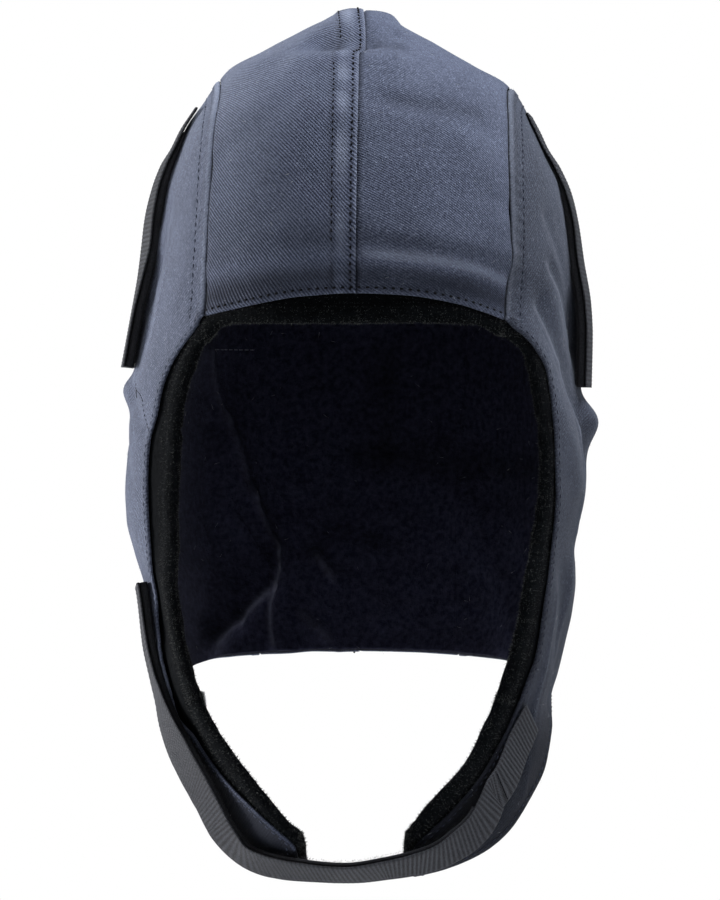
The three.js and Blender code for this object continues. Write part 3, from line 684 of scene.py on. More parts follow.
BAND_CURVES = {-1: curve_of(BAND_EDGE, 1), 1: curve_of(BAND_EDGE, 2)}
forehead_edge = curve_of(FOREHEAD_EDGE, 1)
forehead_rim = curve_of(FOREHEAD_RIM, 1)
hem_height = curve_of(HEM, 1)
brow_drop = curve_of(BROW_DROP, 1)
seam_path = curve_of(SEAM_PATH, 1)


def back_hem_place(x):
    turn = 180 - np.abs(front_turn(x, NAPE_HEIGHT))
    height = hem_height(turn)
    turn = 180 - np.abs(front_turn(x, height))
    return place_at(np.where(x < 0, -turn, turn), height)


def spaced(length, step, ends=(0.3, 0.8)):
    """Shares from 0 to 1 that are step apart over a length, and closer at both ends."""
    inner = np.linspace(0, 1, max(int(round(length / step)), 2) + 1)
    close = np.array(ends) / length
    inner = inner[(inner > close[-1] * 1.4) & (inner < 1 - close[-1] * 1.4)]
    return np.concatenate([[0], close, inner, 1 - close[::-1], [1]])


def crown_grid(side, forehead, gap, step):
    """Places of one half of the middle band, from the forehead edge to the hem and out from the centre."""
    shares = spaced(CROWN_ACROSS, step)
    down = spaced(CROWN_RUN, step)

    def across(sweep):
        return side * (gap / 2 + shares * (BAND_CURVES[side](sweep) - gap))

    first = across(np.full(shares.shape, 8.0))
    height = forehead(first)
    start = sweep_of(place_at(front_turn(first, height), height))
    end = sweep_of(back_hem_place(across(np.full(shares.shape, 235.0))))
    sweep = start + (end - start) * down[:, None]
    return hit_at(across(sweep), sweep)


def seam_of(side, gap):
    """The seam beside a side panel: its points, top, and its turn by height in front and behind."""
    sweep = np.arange(-20, 240.1, 0.5)
    points = hit_at(side * (BAND_CURVES[side](sweep) + gap / 2), sweep)
    turn = np.abs(turn_of(points))
    top = int(points[:, 2].argmax())
    front, back = slice(top, None, -1), slice(top, None)

    def reader(part):
        heights, turns = points[part, 2][::-1], turn[part][::-1]
        return lambda height: np.interp(height, heights, turns)

    return {"points": points, "top": points[top, 2], "front": reader(front), "back": reader(back)}


def side_grid(side, edge, corner, gap, step, lead=0.0, tip=False):
    """Turns and heights of a side panel: the whole panel down to the hem, then the flap's rows."""
    seam = seam_of(side, gap)

    def front_at(height):
        face = np.abs(front_turn(side * edge(height), height))
        return np.where(height >= corner, seam["front"](height), face)

    shares = np.union1d(spaced(SIDE_ACROSS, step), [FLAP_SHARE, FLAP_SHARE - 0.002, FLAP_SHARE - 0.005])
    flap_columns = int(np.searchsorted(shares, FLAP_SHARE)) + 1
    top = seam["top"] - 0.3
    upper = np.union1d(top + (corner - top) * spaced(abs(corner - top), step), [corner - 0.01])
    upper = np.union1d(upper, np.linspace(LAST_LEVEL, corner - 0.5, int((corner - LAST_LEVEL) / step)))
    upper = upper[::-1]

    def level(height):
        ends = np.stack([front_at(height), seam["back"](height)])
        turn = ends[0][:, None] + (ends[1] - ends[0])[:, None] * shares
        return turn, np.broadcast_to(height[:, None], turn.shape)

    turns, heights = level(upper)
    hem_end = seam["back"](hem_height(seam["back"](NAPE_HEIGHT)))
    flap_part = np.clip(shares / FLAP_SHARE, 0, 1)
    hem_part = np.clip((shares - FLAP_SHARE) / (1 - FLAP_SHARE), 0, 1)
    flap_front = front_at(np.array(float(FLAP_TOP)))
    low_turn = np.where(
        shares < FLAP_SHARE,
        flap_front + (FLAP_HEM_TURN - flap_front) * flap_part,
        FLAP_HEM_TURN + (hem_end - FLAP_HEM_TURN) * hem_part,
    )
    low_height = np.where(
        shares < FLAP_SHARE,
        FLAP_TOP + (hem_height(FLAP_HEM_TURN) - FLAP_TOP) * flap_part,
        hem_height(low_turn),
    )
    down = spaced(BEND_RUN, step)[1:, None]
    bent_heights = heights[-1] + (low_height - heights[-1]) * down
    bent_turns = turns[-1] + (low_turn - turns[-1]) * down
    front_error = front_at(bent_heights[:, 0]) - bent_turns[:, 0]
    back_error = seam["back"](bent_heights[:, -1]) - bent_turns[:, -1]
    bent_turns = bent_turns + front_error[:, None] * (1 - shares) ** 4 + back_error[:, None] * shares**4
    turns = np.vstack([turns, bent_turns])
    heights = np.vstack([heights, bent_heights])

    rows = [(0, FLAP_TOP, FLAP_HEM_TURN)] + [(k + 1, *row) for k, row in enumerate(FLAP_ROWS)]
    at = spaced(FLAP_RUN, step)[1:] * (len(rows) - 1)
    edge_heights = curve_of(rows, 1)(at)
    hem_turns = curve_of(rows, 2)(at)
    edge_heights = edge_heights + lead * np.clip((FLAP_TOP - edge_heights) / 30, 0, 1)
    part = shares[:flap_columns] / FLAP_SHARE
    fronts = front_at(edge_heights)
    flap_turns = fronts[:, None] + (hem_turns - fronts)[:, None] * part
    flap_heights = edge_heights[:, None] + (hem_height(hem_turns) - edge_heights)[:, None] * part
    if tip:
        tip_heights = flap_heights[-1, 0] + (flap_heights[-1, -1] - flap_heights[-1, 0]) * part
        tip_turns = front_at(tip_heights)
        more = np.linspace(0, 1, 5)[1:, None]
        flap_turns = np.vstack([flap_turns, flap_turns[-1] + (tip_turns - flap_turns[-1]) * more])
        flap_heights = np.vstack([flap_heights, flap_heights[-1] + (tip_heights - flap_heights[-1]) * more])
    return place_at(side * turns, heights), place_at(side * flap_turns, flap_heights)


def walked(grid, axis):
    """Distance walked over a grid of points along one of its axes."""
    steps = np.linalg.norm(np.diff(grid, axis=axis), axis=-1)
    start = np.zeros_like(steps[:1] if axis == 0 else steps[:, :1])
    return np.concatenate([start, np.cumsum(steps, axis=axis)], axis=axis)


def quads_of(number):
    return np.stack(
        [number[:-1, :-1], number[1:, :-1], number[1:, 1:], number[:-1, 1:]], axis=-1
    ).reshape(-1, 4)


def ragged(main, flap=None):
    """Points, quads and cloth coordinates of a grid whose last rows may be shorter."""
    rows, columns = main.shape[:2]
    number = np.arange(rows * columns).reshape(rows, columns)
    down = walked(main, 0)
    points = [main.reshape(-1, 3)]
    quads = [quads_of(number)]
    cloth = [np.stack([walked(main, 1), down], axis=-1).reshape(-1, 2)]
    if flap is not None:
        rows, width = flap.shape[:2]
        flap_number = number.size + np.arange(rows * width).reshape(rows, width)
        flap_down = walked(np.concatenate([main[-1:, :width], flap]), 0)[1:] + down[-1, :width]
        points.append(flap.reshape(-1, 3))
        quads.append(quads_of(np.vstack([number[-1:, :width], flap_number])))
        cloth.append(np.stack([walked(flap, 1), flap_down], axis=-1).reshape(-1, 2))
    return {"points": np.vstack(points), "quads": np.vstack(quads), "cloth": np.vstack(cloth)}


def places_on(line, length, at):
    """The places of a polyline at these distances along it."""
    return np.stack([np.interp(at, length, line[:, k]) for k in range(3)], axis=-1)


def along_line(line, spacing=0.4):
    """A polyline laid out again with even steps."""
    length = walked(line[None], 1)[0]
    at = np.linspace(0, length[-1], max(int(length[-1] / spacing), 2) + 1)
    return places_on(line, length, at), at


def tree_of(points):
    tree = kdtree.KDTree(len(points))
    for k, point in enumerate(points):
        tree.insert(point, k)
    tree.balance()
    return tree


def nearest_on(points, line):
    """For each point, the nearest place of a polyline, its number and its distance."""
    tree = tree_of(line)
    places, numbers, away = zip(*(tree.find(point) for point in points))
    return np.array(places), list(numbers), np.array(away)


def distance_to(points, line):
    """Distance from each point to a polyline, and the place along the line."""
    dense, at = along_line(line)
    _, numbers, away = nearest_on(points, dense)
    return away, at[numbers]


def lumps(points, size, seed, count=14):
    """Smooth lumps between about -1 and 1, as large as size, the same in each run."""
    dice = np.random.default_rng(seed)
    directions = unit(dice.normal(size=(count, 3)))
    scale = 2 * np.pi / (size * dice.uniform(1.4, 2.8, count))
    phase = dice.uniform(0, 2 * np.pi, count)
    waves = np.sin(points @ (directions * scale[:, None]).T + phase)
    return waves.sum(axis=1) / np.sqrt(count)


def band(distance, middle, spread):
    return np.exp(-(((distance - middle) / spread) ** 2))


def smooth(value, low, high):
    t = np.clip((value - low) / (high - low), 0, 1)
    return t * t * (3 - 2 * t)


def reach_over(points, line, amount, width):
    """Moves that carry a panel's edge over its neighbour's, towards the neighbour's edge line."""
    places, _, away = nearest_on(points, along_line(line)[0])
    return unit(places - points) * (amount * (1 - smooth(away, 0.6, width)))[:, None]


def centripetal(points, shares):
    """The centripetal Catmull-Rom curve through points, evenly numbered from 0 to 1."""
    padded = np.vstack([2 * points[0] - points[1], points, 2 * points[-1] - points[-2]])
    place = shares * (len(points) - 1)
    k = np.minimum(place.astype(int), len(points) - 2)
    weight = (place - k)[:, None]
    p0, p1, p2, p3 = padded[k], padded[k + 1], padded[k + 2], padded[k + 3]
    pairs = ((p0, p1), (p1, p2), (p2, p3))
    d0, d1, d2 = (np.linalg.norm(b - a, axis=1, keepdims=True) ** 0.5 for a, b in pairs)
    t1 = ((p1 - p0) / d0 - (p2 - p0) / (d0 + d1) + (p2 - p1) / d1) * d1
    t2 = ((p2 - p1) / d1 - (p3 - p1) / (d1 + d2) + (p3 - p2) / d2) * d1
    c2 = -3 * p1 + 3 * p2 - 2 * t1 - t2
    c3 = 2 * p1 - 2 * p2 + t1 + t2
    return p1 + t1 * weight + c2 * weight**2 + c3 * weight**3


def mesh_object(name, points, faces, cloth=None, tones=None, rides=True):
    """A mesh object in metres from points in millimetres, with its faces turned outwards."""
    faces = np.asarray(faces)
    a, b, c = points[faces[:, 0]], points[faces[:, 1]], points[faces[:, 2]]
    volume = np.einsum("ij,ij->i", a, np.cross(b, c)).sum()
    if faces.shape[1] == 4:
        d = points[faces[:, 3]]
        volume += np.einsum("ij,ij->i", a, np.cross(c, d)).sum()
    if volume < 0:
        faces = faces[:, ::-1]
    mesh = bpy.data.meshes.new(name)
    mesh.vertices.add(len(points))
    mesh.vertices.foreach_set("co", (points * METRES).astype(np.float32).ravel())
    size = faces.shape[1]
    mesh.loops.add(faces.size)
    mesh.loops.foreach_set("vertex_index", faces.astype(np.int32).ravel())
    mesh.polygons.add(len(faces))
    mesh.polygons.foreach_set("loop_start", np.arange(0, faces.size, size, dtype=np.int32))
    mesh.polygons.foreach_set("loop_total", np.full(len(faces), size, np.int32))
    mesh.polygons.foreach_set("use_smooth", np.ones(len(faces), bool))
    if cloth is not None:
        layer = mesh.uv_layers.new(name="cloth")
        layer.data.foreach_set("uv", cloth[faces.ravel()].astype(np.float32).ravel())
    if tones is not None:
        layer = mesh.attributes.new("tone", "FLOAT", "POINT")
        layer.data.foreach_set("value", tones.astype(np.float32))
    mesh.update()
    mesh.validate()
    made = bpy.data.objects.new(name, mesh)
    bpy.context.scene.collection.objects.link(made)
    if rides:
        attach(made, "root")
    return made


def closed_sheet(name, outer, inner, quads, cloth, tones, inner_tones=None):
    """One closed body of cloth between its outer and inner face."""
    inner_tones = tones if inner_tones is None else inner_tones
    count = len(outer)
    directed = np.vstack([quads[:, [k, (k + 1) % 4]] for k in range(4)])
    forward = directed[:, 0].astype(np.int64) * count + directed[:, 1]
    backward = directed[:, 1].astype(np.int64) * count + directed[:, 0]
    start, end = directed[~np.isin(forward, backward)].T
    walls = np.stack([end, start, start + count, end + count], axis=-1)
    faces = np.vstack([quads, quads[:, ::-1] + count, walls])
    points = np.vstack([outer, inner])
    return mesh_object(name, points, faces, np.vstack([cloth, cloth]), np.concatenate([tones, inner_tones]))


def dress(made, material, node=None):
    """Give a piece its material in a slot, and hide the model's part that it stands for."""
    made.data.materials.append(material)
    if node is not None:
        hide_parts(node)


def surface_area(points, quads):
    a, b, c, d = (points[quads[:, k]] for k in range(4))
    return 0.5 * np.linalg.norm(np.cross(c - a, d - b), axis=1).sum() * METRES**2


class Nodes:
    """Short hands for building one material's node tree."""

    def __init__(self, name, roughness, sheen, sheen_tint, specular=0.2):
        self.material = bpy.data.materials.new(name)
        self.material.use_nodes = True
        self.tree = self.material.node_tree
        self.shader = self.tree.nodes["Principled BSDF"]
        self.shader.inputs["Roughness"].default_value = roughness
        self.shader.inputs["Specular IOR Level"].default_value = specular
        self.shader.inputs["Sheen Weight"].default_value = sheen
        self.shader.inputs["Sheen Roughness"].default_value = 0.5
        self.shader.inputs["Sheen Tint"].default_value = (*sheen_tint, 1)

    def put(self, value, socket):
        """Link a socket, or set its number or colour."""
        if isinstance(value, bpy.types.NodeSocket):
            self.tree.links.new(value, socket)
        else:
            socket.default_value = (*value, 1) if isinstance(value, tuple) else value

    def node(self, kind, inputs=(), output=0, **settings):
        """One output of a new node with these settings and socket values."""
        made = self.tree.nodes.new("ShaderNode" + kind)
        for key, value in settings.items():
            setattr(made, key, value)
        for socket, value in dict(inputs).items():
            self.put(value, made.inputs[socket])
        return made.outputs[output]

    def math(self, operation, *values):
        return self.node("Math", enumerate(values), operation=operation)

    def wave(self, value, length):
        """A sine of a value with a wave length."""
        return self.math("SINE", self.math("MULTIPLY", value, 2 * math.pi / length))

    def cloth(self):
        place = self.node("UVMap", uv_map="cloth")
        split = self.tree.nodes.new("ShaderNodeSeparateXYZ")
        self.put(place, split.inputs[0])
        return split.outputs[0], split.outputs[1]

    def tone(self, low, high, to_low, to_high):
        """The mesh's tone from low to high, as a number between two others."""
        tone = self.node("Attribute", output="Fac", attribute_name="tone")
        return self.remap(tone, low, high, to_low, to_high)

    def noise(self, size, detail=2.0, roughness=0.5):
        """Noise from 0 to 1 with lumps of a size in millimetres."""
        place = self.node("TexCoord", output="Object")
        inputs = {"Vector": place, "Scale": 1 / (size * METRES), "Detail": detail, "Roughness": roughness}
        return self.node("TexNoise", inputs, "Fac")

    def remap(self, value, low, high, to_low=0.0, to_high=1.0):
        inputs = {"Value": value, "From Min": low, "From Max": high, "To Min": to_low, "To Max": to_high}
        return self.node("MapRange", inputs, clamp=True)

    def mix(self, share, first, second):
        inputs = {"Factor": share, "A": first, "B": second}
        return self.node("Mix", inputs, "Result", data_type="RGBA")

    def bump(self, height, distance, strength=1.0, below=None):
        inputs = {"Height": height, "Distance": distance * METRES, "Strength": strength}
        if below is not None:
            inputs["Normal"] = below
        return self.node("Bump", inputs)

    def finish(self, colour, normal):
        self.put(colour, self.shader.inputs["Base Color"])
        self.put(normal, self.shader.inputs["Normal"])
        return self.material


def wales(nodes, pitch, degrees, wobble=0.22):
    """Diagonal lines of a twill from 0 to 1, falling to the right at an angle."""
    across, down = nodes.cloth()
    angle = math.radians(degrees)
    first = nodes.math("MULTIPLY", across, math.sin(angle) * 2 * math.pi / pitch)
    second = nodes.math("MULTIPLY", down, math.cos(angle) * 2 * math.pi / pitch)
    shake = nodes.math("MULTIPLY", nodes.noise(2.4), 2 * math.pi * wobble)
    phase = nodes.math("ADD", nodes.math("ADD", first, second), shake)
    return nodes.math("MULTIPLY_ADD", nodes.math("SINE", phase), 0.5, 0.5)


def twill(name, colours, degrees, strength, pitch, flecks=0.5):
    """Brushed twill: diagonal wales, light flecks, a soft unevenness, paler worn edges, and the tone's
    painted highlights and painted shade.
    """
    low, high, fleck = colours
    nodes = Nodes(name, 0.93, 0.05, (0.62, 0.68, 0.8), specular=0.06)
    lines = wales(nodes, pitch, degrees)
    broken = nodes.remap(nodes.noise(1.1, 3.0, 0.6), 0.35, 0.68)
    weave = nodes.math("MULTIPLY_ADD", nodes.math("SUBTRACT", lines, 0.5), strength, 0.5)
    weave = nodes.math("ADD", weave, nodes.math("MULTIPLY_ADD", broken, 0.5, -0.25))
    cloud = nodes.remap(nodes.noise(16, 3.0, 0.55), 0.3, 0.7, -0.09, 0.09)
    colour = nodes.mix(nodes.remap(nodes.math("ADD", weave, cloud), 0.0, 1.0), low, high)
    colour = nodes.mix(nodes.remap(nodes.noise(0.55, 2.0, 0.7), 0.56, 0.74, 0.0, flecks), colour, fleck)
    # Paler where the tone rises: worn edges and painted highlights. Darker where it falls: stitch rows and
    # painted shade, which also has less sheen.
    colour = nodes.mix(nodes.tone(0.0, 1.0, 0.0, 0.75), colour, fleck)
    colour = nodes.mix(nodes.tone(-1.0, 0.0, 0.9, 0.0), colour, tuple(c * 0.22 for c in low))
    nodes.put(nodes.tone(-0.7, 0.0, 0.004, 0.05), nodes.shader.inputs["Sheen Weight"])
    coarse = nodes.bump(nodes.noise(3.5, 3.0, 0.6), 0.35, 0.5)
    ridges = nodes.math("MULTIPLY_ADD", lines, min(strength, 1), nodes.noise(0.45))
    return nodes.finish(colour, nodes.bump(ridges, 0.16, 0.9, below=coarse))


def fleece_material():
    """Fleece: near black at the rim, dark blue inside, paler with painted highlights on fold ridges and the
    left wall, darker with painted shade in the back folds, and pale where it holds lint.
    """
    nodes = Nodes("lining_fleece", 0.97, 0.006, (0.4, 0.42, 0.5), specular=0.01)
    pile = nodes.noise(0.5, 4.0, 0.75)
    tufts = nodes.noise(2.2, 3.0, 0.65)
    share = nodes.remap(tufts, 0.35, 0.7)
    inside = nodes.mix(share, (0.003, 0.0033, 0.0075), (0.0115, 0.0121, 0.022))
    edge = nodes.mix(share, (0.0007, 0.0009, 0.0012), (0.0023, 0.0027, 0.0033))
    # Near black towards the rim, and with painted shade in the back folds.
    colour = nodes.mix(nodes.tone(0.0, 1.0, 0.0, 1.0), inside, edge)
    # Painted highlights on the fold ridges and the left wall.
    colour = nodes.mix(nodes.tone(-1.0, 0.0, 0.8, 0.0), colour, (0.045, 0.047, 0.066))
    lint = nodes.remap(nodes.noise(1.3), 0.74, 0.8, 0.0, 0.25)
    colour = nodes.mix(lint, colour, (0.05, 0.052, 0.06))
    return nodes.finish(colour, nodes.bump(pile, 0.5, 1.0, below=nodes.bump(tufts, 0.9, 0.8)))


def webbing_material():
    """Webbing: a fine weave with ribs across it, worn at the selvedges, and darker on its inner face with
    painted shade.
    """
    nodes = Nodes("webbing", 0.85, 0.012, (0.6, 0.6, 0.62), specular=0.05)
    across, down = nodes.cloth()
    weave = nodes.math("MULTIPLY", nodes.wave(across, 0.9), nodes.wave(down, 0.7))
    grain = nodes.noise(0.6, 3.0, 0.7)
    ribbed = nodes.math("MULTIPLY_ADD", nodes.wave(down, WEBBING_RIB), 0.15, grain)
    share = nodes.math("ADD", nodes.math("MULTIPLY", weave, 0.05), ribbed)
    colour = nodes.mix(nodes.remap(share, 0.25, 0.85), (0.005, 0.0053, 0.0066), (0.0315, 0.0335, 0.0405))
    # Painted shade on the strap's inner face.
    colour = nodes.mix(nodes.tone(-1.0, 0.0, 1.0, 0.0), colour, (0.0035, 0.0035, 0.0042))
    colour = nodes.mix(nodes.tone(0.0, 1.0, 0.0, 0.5), colour, (0.034, 0.0355, 0.041))
    return nodes.finish(colour, nodes.bump(nodes.math("ADD", weave, grain), 0.14, 0.9))


def plain_fibres(name, low, high, size, depth, roughness=0.95):
    """Thread, pile or lint: a grain between two colours, with lumps of a size."""
    nodes = Nodes(name, roughness, 0.02, (0.5, 0.5, 0.55), specular=0.04)
    grain = nodes.noise(size, 3.0, 0.7)
    return nodes.finish(nodes.mix(nodes.remap(grain, 0.3, 0.72), low, high), nodes.bump(grain, depth, 0.9))


# Colours: low, high, fleck. The side panels' sets are darker copies of the crown's with painted shade: a
# little darker on the left, about half as bright on the right.
CROWN_COLOURS = (0.0115, 0.014, 0.0245), (0.048, 0.0565, 0.086), (0.15, 0.17, 0.225)
LEFT_COLOURS = (0.0105, 0.0127, 0.022), (0.041, 0.0485, 0.074), (0.15, 0.17, 0.225)
RIGHT_PAINTED_SHADE_COLOURS = (0.006, 0.0072, 0.0125), (0.0235, 0.0275, 0.041), (0.12, 0.135, 0.17)
CROWN_TWILL = {
    -1: twill("twill_crown_left", CROWN_COLOURS, 50, 1.15, 1.0, flecks=0.38),
    1: twill("twill_crown_right", CROWN_COLOURS, 28, 0.6, 0.85),
}
SIDE_TWILL = {
    -1: twill("twill_side_left", LEFT_COLOURS, 40, 0.5, 1.0),
    1: twill("twill_side_right_painted_shade", RIGHT_PAINTED_SHADE_COLOURS, 40, 0.4, 0.95),
}
FLEECE = fleece_material()
PILE = plain_fibres("hook_pile", (0.004, 0.004, 0.005), (0.03, 0.031, 0.035), 0.8, 0.1)
HOOK_TAPE = plain_fibres("hook_tape", (0.003, 0.003, 0.004), (0.018, 0.019, 0.022), 0.5, 0.4)
WEBBING = webbing_material()
RIM_FUZZ = plain_fibres("rim_fuzz", (0.002, 0.0024, 0.0027), (0.05, 0.053, 0.052), 1.5, 0.05)
LINT = plain_fibres("lint", (0.05, 0.05, 0.055), (0.14, 0.14, 0.15), 3.0, 0.05)
SHELL_LINT = plain_fibres("shell_lint", (0.09, 0.095, 0.11), (0.24, 0.25, 0.26), 3.0, 0.05)
PALE_THREAD = plain_fibres("thread_pale", (0.03, 0.032, 0.042), (0.07, 0.074, 0.09), 0.5, 0.05)
LABEL = plain_fibres("label_cloth", (0.6, 0.61, 0.62), (0.8, 0.81, 0.82), 0.5, 0.08, 0.7)
THREAD = {
    -1: plain_fibres("thread_left", (0.012, 0.0145, 0.024), (0.042, 0.05, 0.074), 0.5, 0.05, 0.85),
    # The right thread is a darker copy with painted shade, to go with the right panel.
    1: plain_fibres("thread_right_painted_shade", (0.005, 0.006, 0.0105), (0.019, 0.0225, 0.034), 0.5, 0.05, 0.9),
}
DARK_THREAD = plain_fibres("thread_dark", (0.0015, 0.0017, 0.0026), (0.006, 0.0065, 0.009), 0.5, 0.05, 0.9)
STRAP_LAYERS = {"webbing": ("webbing", WEBBING), "hooks": ("hook_tape", HOOK_TAPE)}


def brow_sag(points):
    """The cloth sags a little at the brow, more on the left."""
    front = smooth(-points[:, 1], 10, 45)
    return brow_drop(points[:, 0]) * np.exp(-(((points[:, 2] + 99) / 12) ** 2)) * front


def seam_wander(points):
    """The centre seam isn't straight: it swings to the right near the peak."""
    front = smooth(-points[:, 1], -20, 5)
    return seam_path(points[:, 2]) * front * np.exp(-((points[:, 0] / 16) ** 2))


def folded(points, extra_folds, seed):
    """Relief of the cloth: its folds, finer wrinkles and a soft unevenness."""
    relief = folds_at(points, FOLDS) + folds_at(points, extra_folds)
    uneven = 0.45 * lumps(points, 34, 11) + 0.16 * lumps(points, 13, 12)
    return relief + (uneven + 0.05 * lumps(points, 5, 13 + seed))


def waves(at, pitch, slow, swing=1.0):
    """Puckers along a line from -1 to 1, whose places wander slowly."""
    return np.sin(2 * np.pi * at / pitch + swing * np.sin(at / slow))


def stitched(distance, at, middle, depth):
    """The groove of a stitch row, deeper at each hole."""
    holes = 0.6 + 0.4 * np.cos(2 * np.pi * at / STITCH_PITCH)
    return -depth * band(distance, middle, 0.45) * holes


def grooves(rows, ways):
    """The grooves of a panel's stitch rows."""
    return sum(stitched(*ways[edge], middle, depth) for edge, middle, depth in rows)


def shades(rows, ways):
    """The paler and darker bands along a panel's edges."""
    return sum(tone * band(ways[edge][0], middle, spread) for edge, middle, spread, tone in rows)


def pile_lumps(points):
    return 0.18 * lumps(points, 6.5, 31) + 0.12 * lumps(points, 2.9, 32, 20)


def beside(line, distance, base):
    """The line that runs beside a panel's edge at a distance, on the panel's side of it."""
    line, _ = along_line(line, 1.2)
    tangent = unit(np.gradient(line, axis=0))
    inward = np.cross(outward_at(line), tangent)
    tree = tree_of(base)
    near = [sum(tree.find(point)[2] for point in (line + way * inward * distance)[::6]) for way in (1, -1)]
    way = 1 if near[0] < near[1] else -1
    return on_surface(line + way * inward * distance)


def settled(line, shell):
    """A line of the smooth surface moved onto the face that a panel shows."""
    tree = tree_of(shell["base"])
    moved = []
    for point in line:
        found = tree.find_n(point, 4)
        near = [k for _, k, _ in found]
        weight = np.array([1 / (away + 0.05) for _, _, away in found])
        shift = (shell["shown"][near] - shell["base"][near]) * weight[:, None]
        moved.append(point + shift.sum(axis=0) / weight.sum())
    return np.array(moved)


def stitches(name, line, material, length, radius, keep=None, pitch=STITCH_PITCH, lift=0.0):
    """A row of thread stitches along a line of points in millimetres, as small closed capsules."""
    dense, at = along_line(line, 0.25)
    middles = np.arange(pitch / 2, at[-1], pitch)
    centre, ahead, behind = (places_on(dense, at, middles + shift) for shift in (0, 0.8, -0.8))
    if keep is not None:
        chosen = keep(centre)
        centre, ahead, behind = centre[chosen], ahead[chosen], behind[chosen]
    along = unit(ahead - behind)
    out = outward_at(centre)
    out = unit(out - along * (out * along).sum(axis=1, keepdims=True))
    across = np.cross(along, out)
    centre = centre + out * lift
    shape = []
    for place, wide, high in STITCH_RINGS:
        for turn in np.radians(np.arange(0, 360, 60)):
            level = high + wide * np.sin(turn)
            shape.append((place * length, wide * radius * np.cos(turn), radius * level))
    points = centre[:, None] + sum(
        axis[:, None] * amount[:, None] for axis, amount in zip((along, across, out), np.array(shape).T)
    )
    rings = np.arange(30).reshape(5, 6)
    faces = quads_of(np.hstack([rings, rings[:, :1]]))[:, [0, 3, 2, 1]].tolist()
    for start, order in ((0, (0, 5, 4, 3)), (0, (0, 3, 2, 1)), (24, (0, 1, 2, 3)), (24, (0, 3, 4, 5))):
        faces.append([start + k for k in order])
    dress(repeated(name, points, faces), material)


def repeated(name, points, faces):
    """One mesh of many like closed bodies, with a row of points for each."""
    first = points.shape[1] * np.arange(len(points))[:, None, None]
    faces = np.array(faces)
    return mesh_object(name, points.reshape(-1, 3), (faces[None] + first).reshape(-1, faces.shape[1]))


def hairs(name, roots, directions, lengths, material, width=0.07):
    """Short fibres of a fuzzy face, each a thin closed spike."""
    side = unit(np.cross(directions, np.array([0.3, 0.5, 0.8])))
    other = np.cross(directions, side)
    corners = [side, -0.5 * side + 0.87 * other, -0.5 * side - 0.87 * other]
    points = [roots + corner * width for corner in corners] + [roots + directions * lengths[:, None]]
    faces = [(0, 2, 1), (0, 1, 3), (1, 2, 3), (2, 0, 3)]
    dress(repeated(name, np.stack(points, axis=1), faces), material)


def stray_fibres(name, points, outward, among, number, dice, lengths, lean, width, material):
    """Stray pale fibres that lie on the cloth, at some of its points."""
    chosen = dice.choice(among, number)
    out = outward[chosen]
    flat = unit(np.cross(out, dice.normal(size=(number, 3))))
    roots = points[chosen] + LINT_LIFT * out
    directions, lengths = unit(flat + lean * out), dice.uniform(*lengths, number)
    hairs(f"lint_{name}", roots, directions, lengths, material, width)


face_curves = {-1: curve_of(FACE_EDGE, 1), 1: curve_of(FACE_EDGE, 2)}
RIM_DRAWN = [(height, left + RIM_DRAW, right + RIM_DRAW) for height, left, right in RIM_EDGE]
rim_curves = {-1: curve_of(RIM_DRAWN, 1), 1: curve_of(RIM_DRAWN, 2)}

crown_main = {side: crown_grid(side, forehead_edge, SEAM_GAP, STEP) for side in SIDES}
side_parts = {side: side_grid(side, face_curves[side], EDGE_CORNER[side], SEAM_GAP, STEP) for side in SIDES}


def boundary_lines(side):
    """The panel's edges as lines of points: its seam, its face edge and its hem."""
    main, flap = side_parts[side]
    front = np.vstack([main[:, 0], flap[:, 0]])
    corner = EDGE_CORNER[side]
    seam = np.vstack([front[front[:, 2] >= corner][::-1], main[0], main[:, -1]])
    face = front[front[:, 2] <= corner + 0.02]
    width = flap.shape[1]
    hem = np.vstack([main[-1, : width - 2 : -1], flap[:, -1], flap[-1, ::-1]])
    return {"seam": seam, "face": face, "hem": hem}


lines = {side: boundary_lines(side) for side in SIDES}
forehead_line = np.vstack([crown_main[-1][0, ::-1], crown_main[1][0]])
nape_line = np.vstack([crown_main[-1][-1, ::-1], crown_main[1][-1]])


def shell_panel(node, sheet, placed, outward, edge, flat, tone, material):
    """A closed panel of the shell, rounded at its edges: the piece, its face and its area."""
    rounding = EDGE_ROUNDING * (1 - smooth(edge, 0, 0.8))
    shown = placed - outward * rounding[:, None]
    inner = placed - outward * (SHELL_THICKNESS - rounding * 0.3)[:, None]
    made = closed_sheet(f"{node}_cloth", shown, inner, sheet["quads"], flat, tone)
    dress(made, material, node)
    return made, shown, surface_area(shown, sheet["quads"])


def shell_lint(node, shown, outward, number, seed):
    dice = np.random.default_rng(seed)
    stray_fibres(
        node, shown, outward, len(shown), number, dice, (0.7, 2.2), 0.1, 0.055, SHELL_LINT
    )


